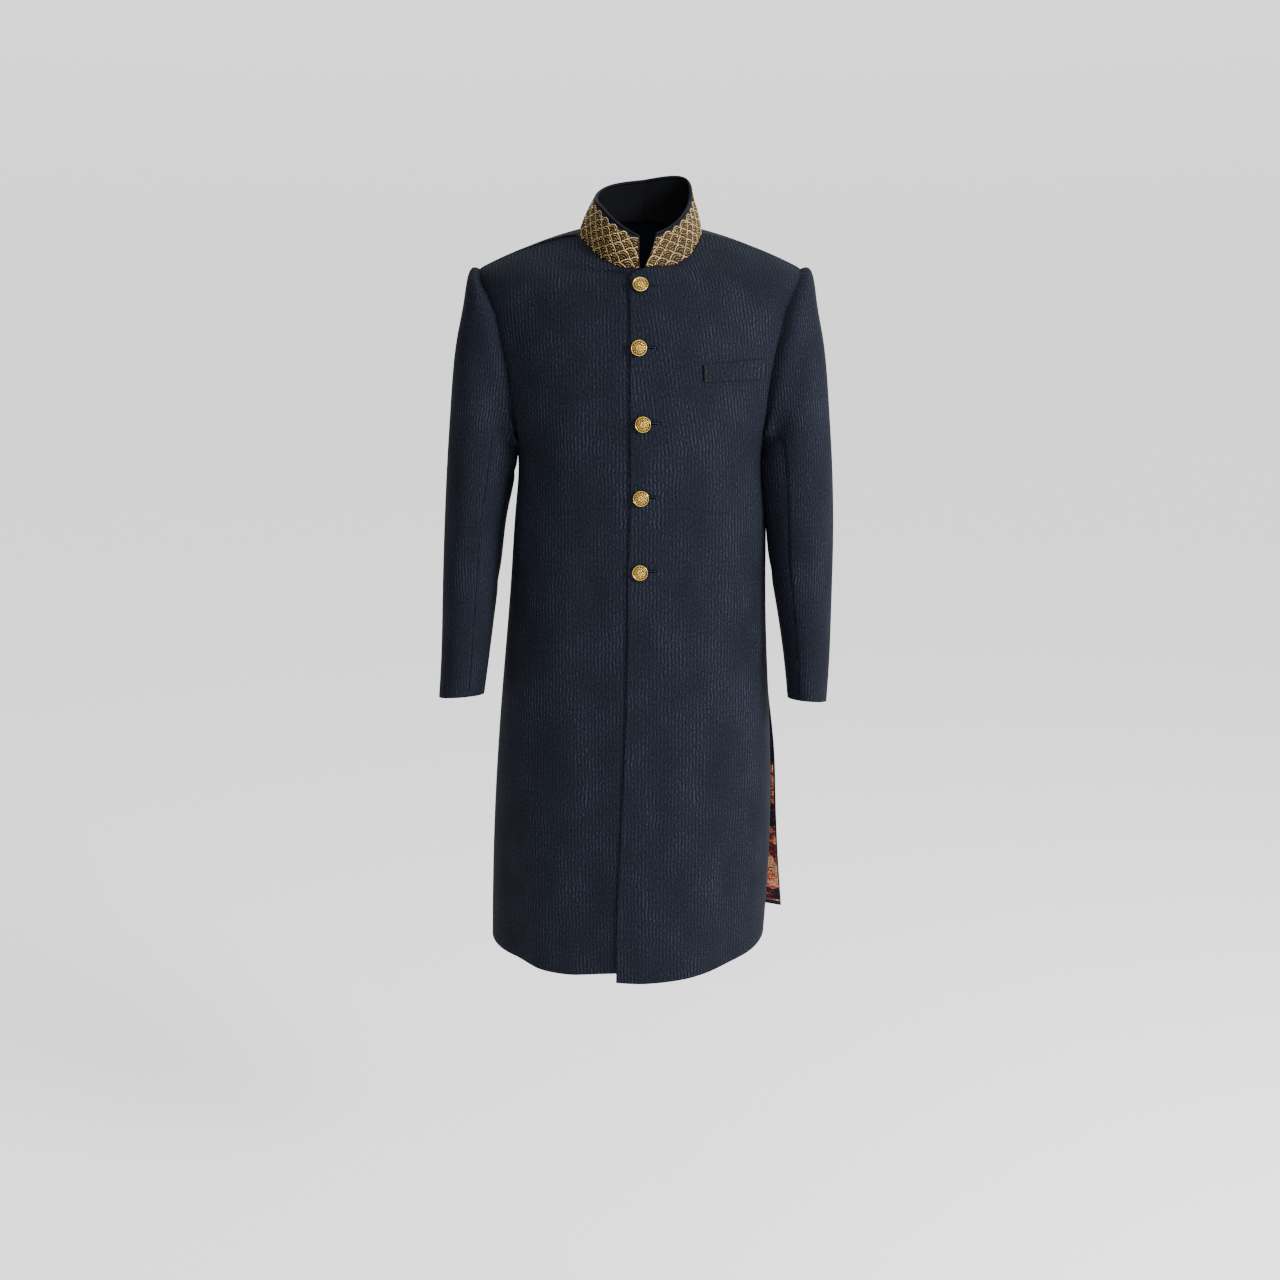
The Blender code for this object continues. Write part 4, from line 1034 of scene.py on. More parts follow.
def tube(path, across, upward, widths, heights, sides):
    """Points, faces and cloth coordinates of a tube along a path, with its own two half sizes."""
    turns = np.arange(sides) * 2 * math.pi / sides
    rings = (
        path[:, None]
        + across[:, None] * (np.cos(turns)[None, :] * np.asarray(widths)[:, None])[..., None]
        + upward[:, None] * (np.sin(turns)[None, :] * np.asarray(heights)[:, None])[..., None]
    )
    uv = np.stack(np.broadcast_arrays(turns[None, :] / (2 * math.pi), walked(path)[:, None]), axis=2)
    around, first, last = ring_faces(len(path), sides)
    return rings.reshape(-1, 3), [*around, first, last], uv.reshape(-1, 2)


def joined(shapes):
    """Several (points, faces, coordinates) as one."""
    points, faces, places, count = [], [], [], 0
    for shape_points, shape_faces, shape_places in shapes:
        points.append(shape_points)
        places.append(shape_places)
        faces += [[corner + count for corner in face] for face in shape_faces]
        count += len(shape_points)
    return np.concatenate(points), faces, np.concatenate(places)


rise = unit(collar[-1] - collar[-2])
across = collar_normals[-1]
width = BAND_WALL + STAND_WALL
middle = collar[-1] - across * width / 2 + rise * PIPING_HEIGHT / 2
wide, high = (np.full(len(middle), half) for half in (width / 2 + PIPING_PROUD, PIPING_HEIGHT / 2))
points, faces, places = tube(middle, across, rise, wide, high, PIPING_SIDES)
# Navy satin cut on the bias: smooth and darker than the coat, with a thin soft highlight.
# Its threads of 0.2 mm are drawn at 0.8 mm so that they show
BIAS_TURN, BIAS_THREAD, BIAS_FLOAT = 0.8, 0.0008, 0.0024
bias, tree, shader = new_material("navy_bias_satin", {"Roughness": 0.6, "Specular IOR Level": 0.06})
place = add_node(tree, "UVMap", {"uv_map": "cloth"})
threads = add_node(
    tree, "TexNoise", None,
    add_node(
        tree, "Mapping", None, place,
        Rotation=(0, 0, BIAS_TURN), Scale=(1 / BIAS_THREAD, 1 / BIAS_FLOAT, 1),
    ),
    Scale=1.0, Detail=2.0,
)
colour = add_node(tree, "ValToRGB", {"ramp": ((0.35, "#05070b"), (0.70, "#0c1019"))}, threads)
bump = add_node(tree, "Bump", None, 1.0, 0.0001, Height=threads)
feed(shader, colour, bump)
piping = add_mesh("collar_piping_cloth", points, faces, places * (0.014, 1), bias)
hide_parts("collar_piping")

# ---------------------------------------------------------------- collar embroidery
# Hand-couched metal-thread work over the whole band: a lattice of scales outlined in a raised
# twisted cord, each one filled with shrinking crescents of coiled wire and a small bead.

CORD = 0.00082
CORD_FLAT = 0.6
EDGE_INSET = 0.0008
# The work stops at this share of the band's height, and its beads a little above it
FOOT, BEAD_FOOT = 0.012, 0.03
COUCHED_SIDES = 6

# One scale: width and drop of each crescent as shares of the scale, its place below the peak, and
# its thickness at the middle and the ends as shares of the cord
Crescent = namedtuple("Crescent", "wide drop below middle ends steps")
OUTLINE = Crescent(1.0, 1.0, 0.0, 1.0, 0.95, 17)
FILLING = (
    Crescent(0.60, 0.46, 0.40, 1.05, 0.50, 11),
    Crescent(0.36, 0.22, 0.86, 0.95, 0.55, 9),
    Crescent(0.18, 0.08, 1.24, 1.00, 0.60, 5),
)


def on_collar(along, below):
    """Point and normal of the band's face at a distance along it and a distance square below its top
    edge, with its share of the height and its distance from the band's right end."""
    walk = along
    for _ in range(4):
        lean, tall = (np.interp(walk, collar_walk, values) for values in (collar_lean, collar_height))
        down = below / np.sqrt(1 - lean**2)
        walk = along - (down - tall / 2) * lean
    share = 1 - down / tall
    column = np.interp(walk, collar_walk, np.arange(len(collar_walk)))
    row = np.clip(share, 0, 1) * COLLAR_ROWS
    i, j = np.clip(row.astype(int), 0, COLLAR_ROWS - 1), np.clip(column.astype(int), 0, COLLAR_COLUMNS - 1)
    a, b = (row - i)[:, None], (column - j)[:, None]
    point, normal = (
        (values[i, j] * (1 - b) + values[i, j + 1] * b) * (1 - a)
        + (values[i + 1, j] * (1 - b) + values[i + 1, j + 1] * b) * a
        for values in (collar, collar_normals)
    )
    return point, unit(normal), share, walk


def couched(centre, peak, crescent):
    """The tubes of one crescent of a scale, cut off at the band's edges."""
    t = np.linspace(-1, 1, crescent.steps)
    along = centre + t * crescent.wide * SCALE_WIDTH / 2
    below = peak + SCALE_TALL * (crescent.below + crescent.drop * np.abs(t) ** ARCH)
    point, normal, share, walk = on_collar(along, below)
    inside = (walk > EDGE_INSET) & (walk < collar_walk[-1] - EDGE_INSET) & (share > FOOT)
    tubes = []
    for run in np.split(np.arange(crescent.steps), np.flatnonzero(np.diff(inside.astype(int))) + 1):
        if inside[run[0]] and len(run) > 2:
            size = CORD * (crescent.ends + (crescent.middle - crescent.ends) * np.cos(t[run] * math.pi / 2))
            path = point[run] + normal[run] * (size * CORD_FLAT / 2)[:, None]
            along = unit(np.gradient(path, axis=0))
            across = unit(np.cross(along, normal[run]))
            tubes.append(tube(path, across, normal[run], size, size * CORD_FLAT, COUCHED_SIDES))
    return tubes


# Gilt wire: silver-gilt spun tight round a core. Its turns are painted lighter, a painted glint on
# each turn, brown between, and broken in points.
# Turns of 0.4 mm are drawn 1.2 mm apart so that they show, and the gilt is worn in spots of 2 mm
WIRE_TURN = 0.0012
gold_cords = []
for name, dark, middle, light in (
    ("gilt_wire_cord", "#4e3714", "#a08145", "#e6cf94"),
    ("gilt_coiled_wire", "#1f1408", "#5a451d", "#a98b48"),
):
    gold, tree, shader = new_material(name, {"Metallic": 0.45, "Roughness": 0.45})
    place = add_node(tree, "UVMap", {"uv_map": "cloth"})
    split = add_node(tree, "SeparateXYZ", None, place)
    twist = add_node(
        tree, "Math", "MULTIPLY_ADD", split.outputs["Y"], 2 * math.pi / WIRE_TURN,
        add_node(tree, "Math", "MULTIPLY", split.outputs["X"], 2 * math.pi),
    )
    # The twist raises each turn and also paints it lighter and darker between: a painted glint
    twist_relief_and_glint = add_node(tree, "Math", "SINE", twist)
    wear = add_node(
        tree, "TexNoise", None, add_node(tree, "TexCoord").outputs["Object"],
        Scale=480.0, Detail=2.0,
    )
    tone = add_node(tree, "Math", "MULTIPLY_ADD", twist_relief_and_glint, 0.16, wear)
    colour = add_node(tree, "ValToRGB", {"ramp": ((0.34, dark), (0.52, middle), (0.72, light))}, tone)
    bump = add_node(tree, "Bump", None, 1.0, 0.0002, Height=twist_relief_and_glint)
    feed(shader, colour, bump)
    gold_cords.append(gold)

# Columns laid beyond each front end, where the lean of the work still reaches the band
END_COLUMNS = 3
# Beads as shares of a scale: beside its middle and below its peak, and at the top row's cusps
BEAD_ASIDE, BEAD_BELOW, CUSP_BELOW = 0.24, 0.62, 0.45
outlines, fillings, beads = [], [], []
for row in range(int(collar_height.max() / SCALE_TALL) + 1):
    for column in range(-END_COLUMNS, SCALE_COLUMNS + END_COLUMNS):
        centre = (column + 0.5 + 0.5 * (row % 2)) * SCALE_WIDTH
        peak = FIRST_PEAK + row * SCALE_TALL
        outlines += couched(centre, peak, OUTLINE)
        for crescent in FILLING:
            fillings += couched(centre, peak, crescent)
        side = 1 if (row + column) % 2 else -1
        for walk, below in (
            (centre + side * BEAD_ASIDE * SCALE_WIDTH, peak + BEAD_BELOW * SCALE_TALL),
            *([(centre + SCALE_WIDTH / 2, FIRST_PEAK + CUSP_BELOW * SCALE_TALL)] if row == 0 else []),
        ):
            point, normal, share, place = on_collar(np.array([walk]), np.array([below]))
            if EDGE_INSET < place[0] < collar_walk[-1] - EDGE_INSET and share[0] > BEAD_FOOT:
                beads.append((point[0], normal[0]))
names = "collar_scale_outlines", "collar_scale_fillings"
for name, shapes, gold in zip(names, (outlines, fillings), gold_cords):
    piece = add_mesh(name, *joined(shapes), gold)

# Small cut-glass beads of 1.1 mm, drawn pale gold to near white so that each shows as a single
# point of light: a painted glint, besides the glass's own gloss. Each is a little deeper or paler
# than the next.
BEAD = 0.00055
BEAD_HEIGHT = 0.9
BEAD_SIDES = 8
glass, tree, shader = new_material("pale_bead_painted_glint", {"Roughness": 0.12, "Coat Weight": 0.6})
cloudy = add_node(tree, "TexNoise", None, add_node(tree, "TexCoord").outputs["Object"], Scale=900.0)
colour = add_node(tree, "ValToRGB", {"ramp": ((0.3, "#d8bf78"), (0.6, "#fbf3d2"))}, cloudy)
feed(shader, colour)
rounds = []
belt = np.linspace(-math.pi / 2, math.pi / 2, 7)[1:-1]
for point, normal in beads:
    side = unit(np.cross(normal, (0, 0, 1.0)))
    path = point + normal * CORD * BEAD_HEIGHT + side * BEAD * np.sin(belt)[:, None]
    size = BEAD * np.cos(belt)
    up = np.cross(side, normal)
    outward, up = (np.broadcast_to(vector, path.shape) for vector in (normal, up))
    rounds.append(tube(path, outward, up, size, size, BEAD_SIDES))
piece = add_mesh("collar_beads", *joined(rounds), glass)

# ---------------------------------------------------------------- chest pocket welt
# A narrow welt of the jacquard, folded double with a stiff strip inside, and sewn over the chest
# pocket's mouth along its lower edge and both ends. Its grain is turned with its slope.

WELT_CORNERS = ((0.0870, -0.1915), (0.1730, -0.1875), (0.1740, -0.1610), (0.0860, -0.1680))
WELT_WALL = 0.0018
# The free upper edge stands this much proud
WELT_PROUD = 0.0004
# The stretch of weave drawn across the welt and up it, and where it was cut from the cloth
WELT_LONG, WELT_TALL = 0.0862, 0.0258
WELT_GRAIN = (0.002, 0.011)
# The step over which a slope is taken
SMALL = 1e-3
SOLVE_STEPS = 8


def steps_from(panel, at, up):
    """A point of a panel, and the way to the points a small step across and up from it."""
    here, across, above = (
        panel_row(panel, u, np.array([a]))[0] for a, u in ((at, up), (at + SMALL, up), (at, up + SMALL))
    )
    return here, across - here, above - here


def surface(panel, at, up):
    """Point and outward normal of a panel's outer face."""
    here, across, above = steps_from(panel, at, up)
    normal = np.cross(across, above) * (1 if panel.startswith("left") else -1)
    normal /= np.linalg.norm(normal)
    return here + normal * relief(panel, up, np.array([at]), here[2:3])[0], normal


def on_front(panel, x, z):
    """The point and normal of a front's outer face at this x and height."""
    at, up = abs(x), float(np.interp(z, [l.front_z for l in LEVELS[: FRONT_NECK + 1]], range(FRONT_NECK + 1)))
    for _ in range(SOLVE_STEPS):
        here, across, above = steps_from(panel, at, up)
        step_at, step_up = across / SMALL, above / SMALL
        slope = np.array([[step_at[0], step_up[0]], [step_at[2], step_up[2]]])
        move = np.linalg.solve(slope, np.array([x - here[0], z - here[2]]))
        at, up = at + move[0], up + move[1]
    return surface(panel, at, up)


low_in, low_out, high_out, high_in = (np.array(c) for c in WELT_CORNERS)
WELT_SHARES = np.concatenate([[0, 0.02], np.linspace(0.05, 0.95, 19), [0.98, 1]])
WELT_RISES = np.array([0, 0.08, 0.2, 0.35, 0.5, 0.65, 0.8, 0.92, 1])
welt = np.empty((len(WELT_RISES), len(WELT_SHARES), 3))
welt_normals = np.empty_like(welt)
for i, up in enumerate(WELT_RISES):
    for j, share in enumerate(WELT_SHARES):
        low = low_in + (low_out - low_in) * share
        high = high_in + (high_out - high_in) * share
        point, normal = on_front("left_front", *(low + (high - low) * up))
        welt[i, j] = point + normal * (LAYER_GAP + WELT_WALL + WELT_PROUD * up**2)
        welt_normals[i, j] = normal
welt_places = np.stack(np.meshgrid(WELT_SHARES * WELT_LONG, WELT_RISES * WELT_TALL), axis=2) + WELT_GRAIN
piece = cloth_wall("chest_welt_cloth", welt, welt_normals, WELT_WALL, welt_places, navy)
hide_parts("chest_welt")

# ---------------------------------------------------------------- buttons
# Five cast brass buttons: a low dome inside a raised rim, engraved with a rosette and crossed
# scrolls, gilt and polished so that the rim shines and the cuts stay brown.

# Where each button sits, and how far its engraving is turned in degrees
Button = namedtuple("Button", "x z turn")
BUTTONS = (
    Button(0.0005, -0.0625, 12),
    Button(-0.0013, -0.1455, 40),
    Button(0.0040, -0.2475, -8),
    Button(0.0013, -0.3490, 22),
    Button(0.0, -0.4535, 55),
)
BUTTON_SIDES = 96
# The domed face: its rings, radius, height and how far its edge lies below its middle
BUTTON_FACE = 26
FACE_EDGE = 0.0094
FACE_HEIGHT = 0.0056
FACE_DROP = 0.0012
# Radius and height of the turned profile from there: rim, underside and shank
BUTTON_EDGE = (
    (0.0097, 0.0048), (0.0099, 0.0052), (0.0102, 0.0054), (0.0106, 0.0051), (0.0109, 0.0044), (0.0110, 0.0036),
    (0.0108, 0.0029), (0.0103, 0.0024), (0.0070, 0.0020), (0.0040, 0.0016), (0.0034, 0.0004),
)
CUT_DEPTH = 0.0006
# The engraving, as shares of the face's radius: where each line runs and how wide it is cut
PETALS = 3
PETAL_AT, PETAL_DEEP, PETAL_WIDTH = 0.30, 0.26, 0.050
RING_AT, RING_WIDTH = 0.16, 0.045
BORDER_AT, BORDER_WIDTH = 0.94, 0.035
SCROLLS, SCROLL_LEAN, SCROLL_WIDTH = 7, 10, 0.40
# The scrolls fade in beyond the petals, and out before the border
SCROLL_START = (0.04, 0.12)
SCROLL_END = (0.84, 0.90)


def engraving(radius, angle):
    """How deeply the face is cut, from 0 to 1: petals round a small ring, then crossed scrolls."""
    r = np.broadcast_to(radius / FACE_EDGE, np.broadcast_shapes(radius.shape, angle.shape))
    petal = PETAL_AT + PETAL_DEEP * np.abs(np.cos(PETALS * angle))
    cuts = (petal, PETAL_WIDTH), (RING_AT, RING_WIDTH), (BORDER_AT, BORDER_WIDTH)
    rings = [bell(r - at, wide) for at, wide in cuts]
    scrolls = [
        bell(np.sin(SCROLLS * angle + turn * SCROLL_LEAN * r), SCROLL_WIDTH)
        * smooth_step(r - petal, *SCROLL_START) * (1 - smooth_step(r, *SCROLL_END))
        for turn in (-1, 1)
    ]
    return np.maximum.reduce([*rings, *scrolls])


# Gilt brass, cast, engraved and polished: bright yellow gold with brown left in the cuts, and
# handling smears of about 1 mm that soften its gloss in spots.
brass, tree, shader = new_material("engraved_gilt_brass", {"Metallic": 1.0})
cut = add_node(tree, "Attribute", {"attribute_name": "cut"})
smear = add_node(
    tree, "TexNoise", None, add_node(tree, "TexCoord").outputs["Object"],
    Scale=900.0, Detail=3.0,
)
colour = add_node(
    tree, "ValToRGB",
    {"ramp": ((0.0, "#dcbc66"), (0.18, "#a07c32"), (0.45, "#3c280e"), (0.8, "#160c04"))},
    cut.outputs["Fac"],
)
rough = add_node(tree, "MapRange", None, smear, 0.0, 1.0, 0.14, 0.34)
feed(shader, colour)
tree.links.new(rough.outputs[0], shader.inputs["Roughness"])

angle = np.arange(BUTTON_SIDES) * 2 * math.pi / BUTTON_SIDES
outward = np.linspace(0, 1, BUTTON_FACE)[1:]
radii = np.concatenate([np.linspace(0, FACE_EDGE, BUTTON_FACE)[1:], [r for r, _ in BUTTON_EDGE]])
heights = np.concatenate([FACE_HEIGHT - FACE_DROP * outward**2, [z for _, z in BUTTON_EDGE]])
on_face = (radii <= FACE_EDGE)[:, None]
for number, button in enumerate(BUTTONS, 1):
    cuts = np.where(on_face, engraving(radii[:, None], angle[None, :] + math.radians(button.turn)), 0)
    points = np.stack(
        [
            radii[:, None] * np.cos(angle), radii[:, None] * np.sin(angle),
            heights[:, None] - cuts * CUT_DEPTH,
        ],
        axis=2,
    ).reshape(-1, 3)
    points = np.concatenate([points, [(0, 0, FACE_HEIGHT)]])
    around, _, underside = ring_faces(len(radii), BUTTON_SIDES)
    face = [[len(points) - 1, (k + 1) % BUTTON_SIDES, k] for k in range(BUTTON_SIDES)]
    place, normal = on_front("left_front", button.x, button.z)
    stand_on = Vector((0, 0, 1)).rotation_difference(Vector(normal)).to_matrix().to_4x4()
    matrix = np.array(Matrix.Translation(Vector(place + normal * LAYER_GAP)) @ stand_on)
    moved = points @ matrix[:3, :3].T + matrix[:3, 3]
    piece = add_mesh(f"button_{number}_brass", moved, [*around, *face, underside], None, brass)
    layer = piece.data.attributes.new("cut", "FLOAT", "POINT")
    layer.data.foreach_set("value", np.append(cuts.ravel(), 0).astype(np.float32))
    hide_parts(f"button_{number}")

# ---------------------------------------------------------------- buttonholes and topstitching
# Each hole is worked by hand in navy silk: close stitches stand on both sides of a slot that
# runs on from under its button to a bar. The slot, and a line along the stitches' upper side and
# round the bar, are near-black tubes of painted shade. A row of small stitches holds the overlap's edge.

HOLE_START = 0.0085
HOLE_END = 0.0212
# The slot's half width, also that of its tube of painted shade, and the half width of the line of painted shade
# along the stitches' upper side
SLOT_HALF = 0.0009
SHADE_LINE_HALF = 0.0006
STITCH_HIGH = 0.0024
STITCH_LOW = 0.0014
HOLE_THREAD = 0.00036
HOLE_STEP = 0.00062
TOP_LENGTH = 0.0030
TOP_STEP = 0.0042
TOP_INSET = 0.0052
TOP_THREAD = 0.00022
# A topstitch's points as shares of its length, and their dips into the cloth in threads
TOP_SHARES = np.array([0, 0.12, 0.5, 0.88, 1])
TOP_DIPS = np.array([-1.4, 0, 0.4, 0, -1.4])
TOP_PLACES = 240
# The row's first and last level, and where its first stitch starts
TOP_LEVELS = (0.03, FRONT_NECK - 0.04)
TOP_START = 0.002
# The hole's bar: its stitches, and how far the line of painted shade runs round it
BAR_STITCHES = 3
BAR_CORNER, BAR_END = 0.0022, 0.0028
# How far a thread's middle, or the middle of a tube of painted shade, stands out of the cloth, in threads
STITCH_LIFT, BAR_LIFT, SLOT_SHADE_LIFT, SHADE_LINE_LIFT = 0.4, 0.6, 0.15, 0.2
STITCH_SIDES = 6

# Buttonhole silk: three plies twisted tight, a soft shine on each stitch. Its plies of 0.2 mm are
# drawn as spots of 0.7 mm so that they show.
silk, tree, shader = new_material("navy_buttonhole_silk", {"Roughness": 0.5, "Specular IOR Level": 0.12})
fibre = add_node(
    tree, "TexNoise", None, add_node(tree, "TexCoord").outputs["Object"],
    Scale=1400.0, Detail=2.0,
)
colour = add_node(tree, "ValToRGB", {"ramp": ((0.35, "#10131b"), (0.7, "#262c3a"))}, fibre)
bump = add_node(tree, "Bump", None, 0.8, 0.0002, Height=fibre)
feed(shader, colour, bump)
# Painted shade of the buttonholes: all but black, laid as tubes in each slot and along the
# stitches' upper side and round the bar.
buttonhole_shade, tree, shader = new_material("buttonhole_painted_shade", {"Roughness": 0.95, "Specular IOR Level": 0.0})
shade_speckle = add_node(tree, "TexNoise", None, add_node(tree, "TexCoord").outputs["Object"], Scale=2000.0)
colour = add_node(tree, "ValToRGB", {"ramp": ((0.4, "#010102"), (0.7, "#050608"))}, shade_speckle)
feed(shader, colour)


def stitch(path, normal, thread, lift=STITCH_LIFT):
    """A thread tube along a path that stands a little out of the cloth."""
    path = np.asarray(path) + normal * thread * lift
    along = unit(np.gradient(path, axis=0))
    normal = np.broadcast_to(normal, path.shape)
    size = np.full(len(path), thread)
    return tube(path, unit(np.cross(along, normal)), normal, size, size, STITCH_SIDES)


def by_button(button, across):
    """Point, normal and upward direction of the overlap beside a button."""
    point, normal = on_front("left_front", button.x + across, button.z)
    return point, normal, unit(np.array((0, 0, 1.0)) - normal * normal[2])


stitches, shade_tubes = [], []
for button in BUTTONS:
    for across in np.arange(HOLE_START, HOLE_END, HOLE_STEP):
        point, normal, upward = by_button(button, across)
        for start, end in ((SLOT_HALF, STITCH_HIGH), (-STITCH_LOW, -SLOT_HALF)):
            at = np.linspace(start, end, 3)[:, None]
            stitches.append(stitch(point + upward * at, normal, HOLE_THREAD))
    for step in range(BAR_STITCHES):
        point, normal, upward = by_button(button, HOLE_END + step * HOLE_STEP)
        at = np.linspace(-STITCH_LOW, STITCH_HIGH, 5)[:, None]
        stitches.append(stitch(point + upward * at, normal, HOLE_THREAD, BAR_LIFT))
    line = [by_button(button, across) for across in np.linspace(HOLE_START, HOLE_END, 8)]
    path, (_, normal, upward) = np.array([point for point, _, _ in line]), line[len(line) // 2]
    forward = unit(path[-1] - path[0])
    # The slot is a near-black tube of painted shade
    shade_tubes.append(stitch(path, normal, SLOT_HALF, SLOT_SHADE_LIFT))
    # A second tube of painted shade runs along the stitches' upper side and round the bar
    end, corner = path[-1], path[-1] + forward * BAR_CORNER
    rim = [*(path + upward * (STITCH_HIGH + SHADE_LINE_HALF)), corner + upward * STITCH_HIGH]
    rim += [end + forward * BAR_END, corner - upward * STITCH_LOW]
    shade_tubes.append(stitch(np.array(rim), normal, SHADE_LINE_HALF, SHADE_LINE_LIFT))
buttonholes = add_mesh("buttonholes_silk", *joined(stitches), silk)
buttonhole_shade_piece = add_mesh("buttonhole_shade_lines", *joined(shade_tubes), buttonhole_shade)

edge_line = np.array([
    surface("left_front", TOP_INSET - beyond_centre("left_front", up), up)
    for up in np.linspace(*TOP_LEVELS, TOP_PLACES)
])
edge_points, edge_normals = edge_line[:, 0], edge_line[:, 1]
edge_walk = walked(edge_points)
stitches = []
for start in np.arange(TOP_START, edge_walk[-1] - TOP_STEP, TOP_STEP):
    at = start + TOP_LENGTH * TOP_SHARES
    path, normal = read_at(at, edge_walk, edge_points), unit(read_at(at, edge_walk, edge_normals))
    stitches.append(stitch(path + normal * (TOP_THREAD * TOP_DIPS)[:, None], normal, TOP_THREAD))
topstitch = add_mesh("overlap_topstitch_silk", *joined(stitches), silk)

# ---------------------------------------------------------------- welt bar tacks
# Close machine stitches of warm grey silk cross each end of the welt and hold it to the front:
# a wide tack at its inner end and a narrow one at its outer end.

# Each tack's reach along the welt and the step between its stitches, as shares of the welt
Tack = namedtuple("Tack", "from_share to_share step")
TACKS = (Tack(0.010, 0.042, 0.035), Tack(0.974, 0.990, 0.060))
TACK_THREAD = 0.00030

# Tacking silk: spun dull, so only the tops of the stitches catch the light. Its plies are drawn as
# spots of 0.7 mm, as the buttonhole silk's are.
tacking, tree, shader = new_material("warm_grey_spun_silk", {"Roughness": 0.6, "Specular IOR Level": 0.15})
fibre = add_node(
    tree, "TexNoise", None, add_node(tree, "TexCoord").outputs["Object"],
    Scale=1400.0, Detail=2.0,
)
colour = add_node(
    tree, "ValToRGB", {"ramp": ((0.35, "#0c0c10"), (0.55, "#19191d"), (0.74, "#3a342f"))}, fibre,
)
feed(shader, colour)


def on_welt(shares, rise):
    """Points and normals of the welt's face across it at this share of its height."""
    lines = []
    for values in (welt, welt_normals):
        row = read_at(rise, WELT_RISES, values.reshape(len(WELT_RISES), -1))
        lines.append(read_at(shares, WELT_SHARES, row.reshape(-1, 3)))
    return lines


stitches = []
for tack in TACKS:
    for rise in np.arange(tack.step, 1, tack.step):
        path, normals = on_welt(np.linspace(tack.from_share, tack.to_share, 4), rise)
        stitches.append(stitch(path, unit(normals), TACK_THREAD))
tacks = add_mesh("welt_bar_tacks_silk", *joined(stitches), tacking)

# ---------------------------------------------------------------- back skirt lining
# A light printed viscose, sewn inside the back skirt along its hem and vents and seen through the
# side vents: loose brushed patches of rust, navy and cream.

LINING_WALL = 0.0010
LINING_TOP = 3.5
LINING_HEM = 0.0095
# The last two columns draw back from the vent's edge to these shares of their distance
LINING_EDGE, LINING_BESIDE = 0.85, 0.5

# Printed viscose: loose brush strokes of about 12 by 30 mm in patches of about 25 mm, broken into
# dots of about 2 mm by the weave, nearly without shine.
STROKE_TURN, STROKE_LONG, STROKE_WIDE = 0.35, 0.030, 0.012
PRINT_WIDE, PRINT_LONG = 0.026, 0.020
DOT, WEAVE_THREAD = 0.0021, 0.0016
printed, tree, shader = new_material(
    "printed_viscose", {"Roughness": 0.6, "Specular IOR Level": 0.05, "Sheen Weight": 0.01},
)
place = add_node(tree, "UVMap", {"uv_map": "cloth"})
stroke = add_node(
    tree, "TexNoise", None,
    add_node(
        tree, "Mapping", None, place,
        Rotation=(0, 0, STROKE_TURN), Scale=(1 / STROKE_LONG, 1 / STROKE_WIDE, 1),
    ),
    Scale=1.0, Detail=4.0, Roughness=0.62, Distortion=0.8,
)
patch = add_node(
    tree, "TexVoronoi", {"feature": "F1"},
    add_node(
        tree, "VectorMath", "MULTIPLY_ADD", stroke.outputs["Color"], (0.6, 0.6, 0),
        add_node(tree, "Mapping", None, place, Scale=(1 / PRINT_WIDE, 1 / PRINT_LONG, 1)),
    ),
    Scale=1.0,
)
pick = add_node(tree, "SeparateXYZ", None, patch.outputs["Color"])
mixed = add_node(
    tree, "Math", "MULTIPLY_ADD", stroke, 0.9,
    add_node(tree, "Math", "MULTIPLY_ADD", pick, 0.7, -0.3),
)
dots = add_node(tree, "TexNoise", None, place, Scale=1 / DOT, Detail=1.0)
mixed = add_node(tree, "Math", "ADD", mixed, add_node(tree, "Math", "MULTIPLY_ADD", dots, 0.9, -0.45))
colour = add_node(
    tree, "ValToRGB",
    {"ramp": (
        (0.22, "#07080f"), (0.42, "#10121f"), (0.47, "#4c140d"), (0.60, "#862c1d"), (0.68, "#a8583a"),
        (0.73, "#b5a68e"), (0.79, "#8a6c2a"), (0.84, "#3c100d"),
    )},
    mixed,
)
weave = add_node(tree, "TexNoise", None, place, Scale=1 / WEAVE_THREAD, Detail=1.0)
bump = add_node(tree, "Bump", None, 1.0, 0.0001, Height=weave)
feed(shader, colour, bump)

halves = []
kept = panel_ups() <= LINING_TOP
for side in ("right", "left"):
    grid, normals, places = (values[kept].copy() for values in GRIDS[side + "_back"])
    inside = grid - normals * (WALL + LAYER_GAP)
    inside[0] += unit(inside[1] - inside[0]) * LINING_HEM
    inside[:, -1] = inside[:, -3] + (inside[:, -1] - inside[:, -3]) * LINING_EDGE
    inside[:, -2] = inside[:, -3] + (inside[:, -1] - inside[:, -3]) * LINING_BESIDE
    places[..., 0] *= 1 if side == "left" else -1
    halves.append((inside, normals, places))
outer, normals, places = (np.concatenate([right[:, ::-1], left], axis=1) for right, left in zip(*halves))
piece = cloth_wall("back_lining_print", outer, normals, LINING_WALL, places, printed)
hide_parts("back_lining")

# ---------------------------------------------------------------- studio
# A white paper floor well below the hem, white walls that light the coat from nearly all round, a
# large lamp at the wearer's left and a weak one above.

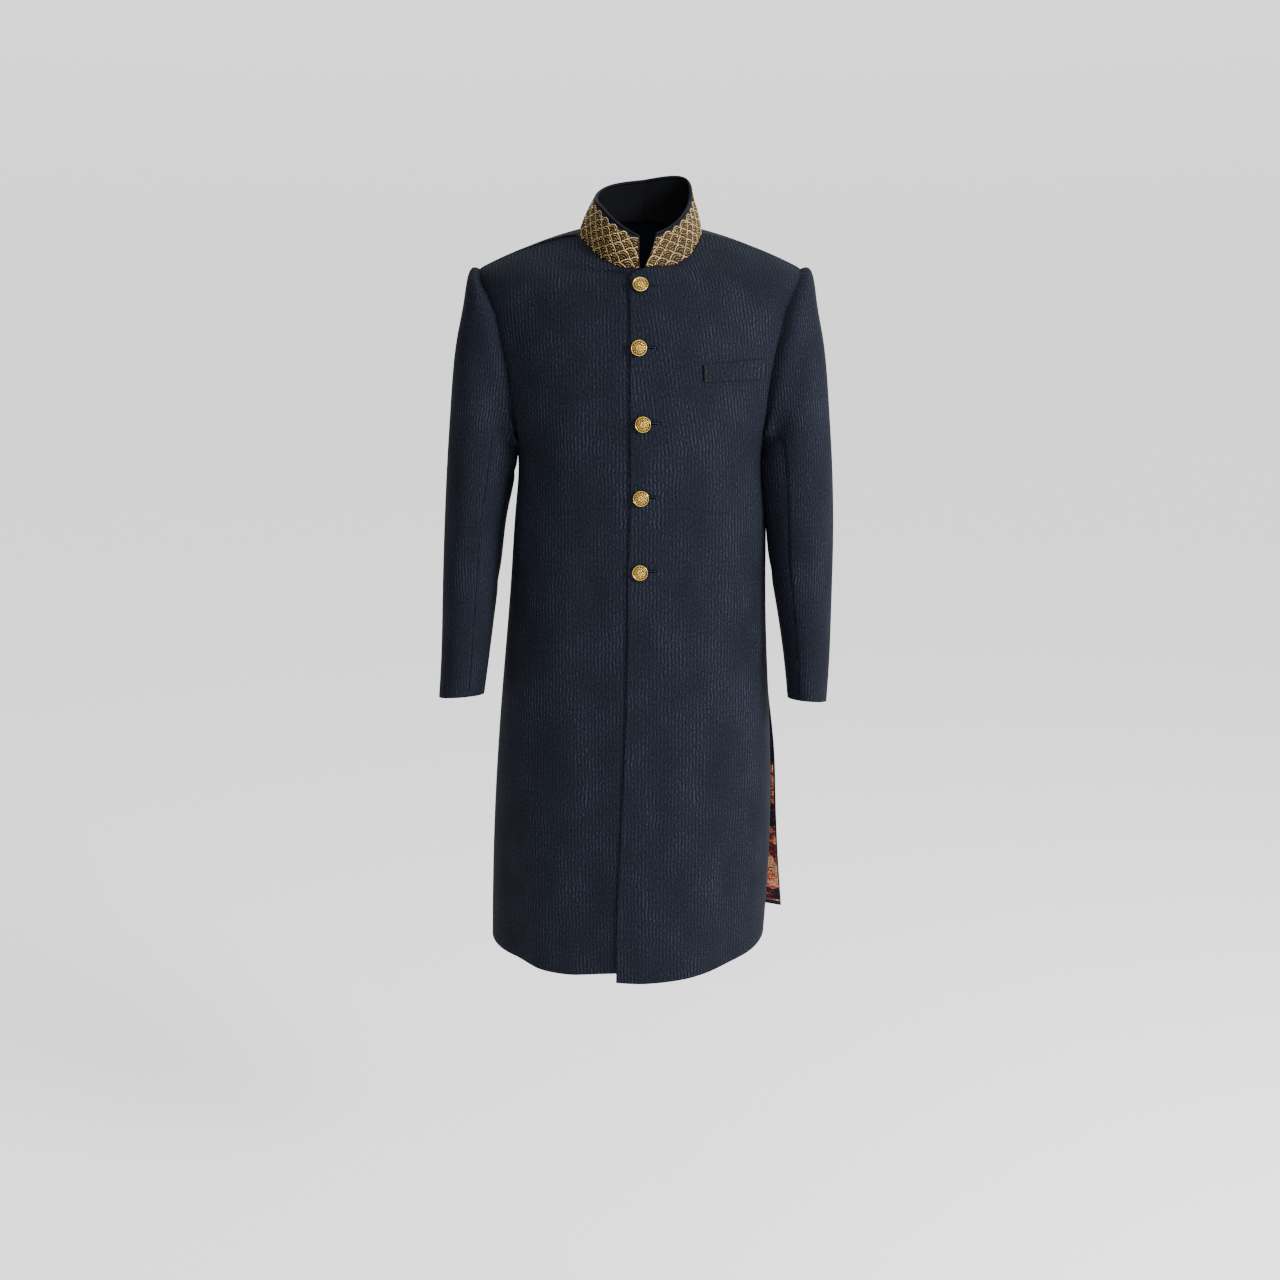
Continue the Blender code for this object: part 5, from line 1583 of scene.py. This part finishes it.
FLOOR_Z = -1.68
FLOOR_HALF = 30
floor_mesh = bpy.data.meshes.new("floor")
corners = [(x * FLOOR_HALF, y * FLOOR_HALF, FLOOR_Z) for x, y in ((-1, -1), (1, -1), (1, 1), (-1, 1))]
floor_mesh.from_pydata(corners, [], [(0, 1, 2, 3)])
floor = bpy.data.objects.new("floor", floor_mesh)
bpy.context.scene.collection.objects.link(floor)
# Matt white paper: evenly bright, without a highlight.
paper, tree, shader = new_material("white_paper_sweep", {"Roughness": 1.0, "Specular IOR Level": 0.0})
fibre = add_node(tree, "TexNoise", None, Scale=3.0)
colour = add_node(tree, "ValToRGB", {"ramp": ((0.4, "#fefefe"), (0.6, "#ffffff"))}, fibre)
feed(shader, colour)
floor_mesh.materials.append(paper)

world = bpy.data.worlds.new("studio")
world.use_nodes = True
# The walls are white all round but for the wearer's right, which is left unlit, and fall off a
# little towards the floor
tree = world.node_tree
split = add_node(tree, "SeparateXYZ", None, add_node(tree, "TexCoord").outputs["Generated"])
soft = {"interpolation_type": "SMOOTHSTEP"}
strength = add_node(
    tree, "Math", "MULTIPLY",
    add_node(tree, "MapRange", soft, split.outputs["X"], -0.60, -0.40, 0.20, 1.85),
    add_node(tree, "MapRange", soft, split.outputs["Z"], 0.0, 0.35, 0.80, 1.0),
)
tree.nodes["Background"].inputs["Color"].default_value = linear("#ffffff")
tree.links.new(strength.outputs[0], tree.nodes["Background"].inputs["Strength"])
bpy.context.scene.world = world

Lamp = namedtuple("Lamp", "name place target size power")
LAMPS = (
    Lamp("key", (2.6, -2.0, 0.6), (0.1, 0, -0.6), 1.0, 225),
    Lamp("top", (0.8, 0.2, 2.4), (0, 0, -0.5), 1.4, 12),
)
for lamp in LAMPS:
    light = bpy.data.lights.new(lamp.name, "AREA")
    light.size = lamp.size
    light.energy = lamp.power
    holder = bpy.data.objects.new(lamp.name, light)
    holder.location = lamp.place
    holder.rotation_euler = (Vector(lamp.target) - Vector(lamp.place)).to_track_quat("-Z", "Y").to_euler()
    bpy.context.scene.collection.objects.link(holder)
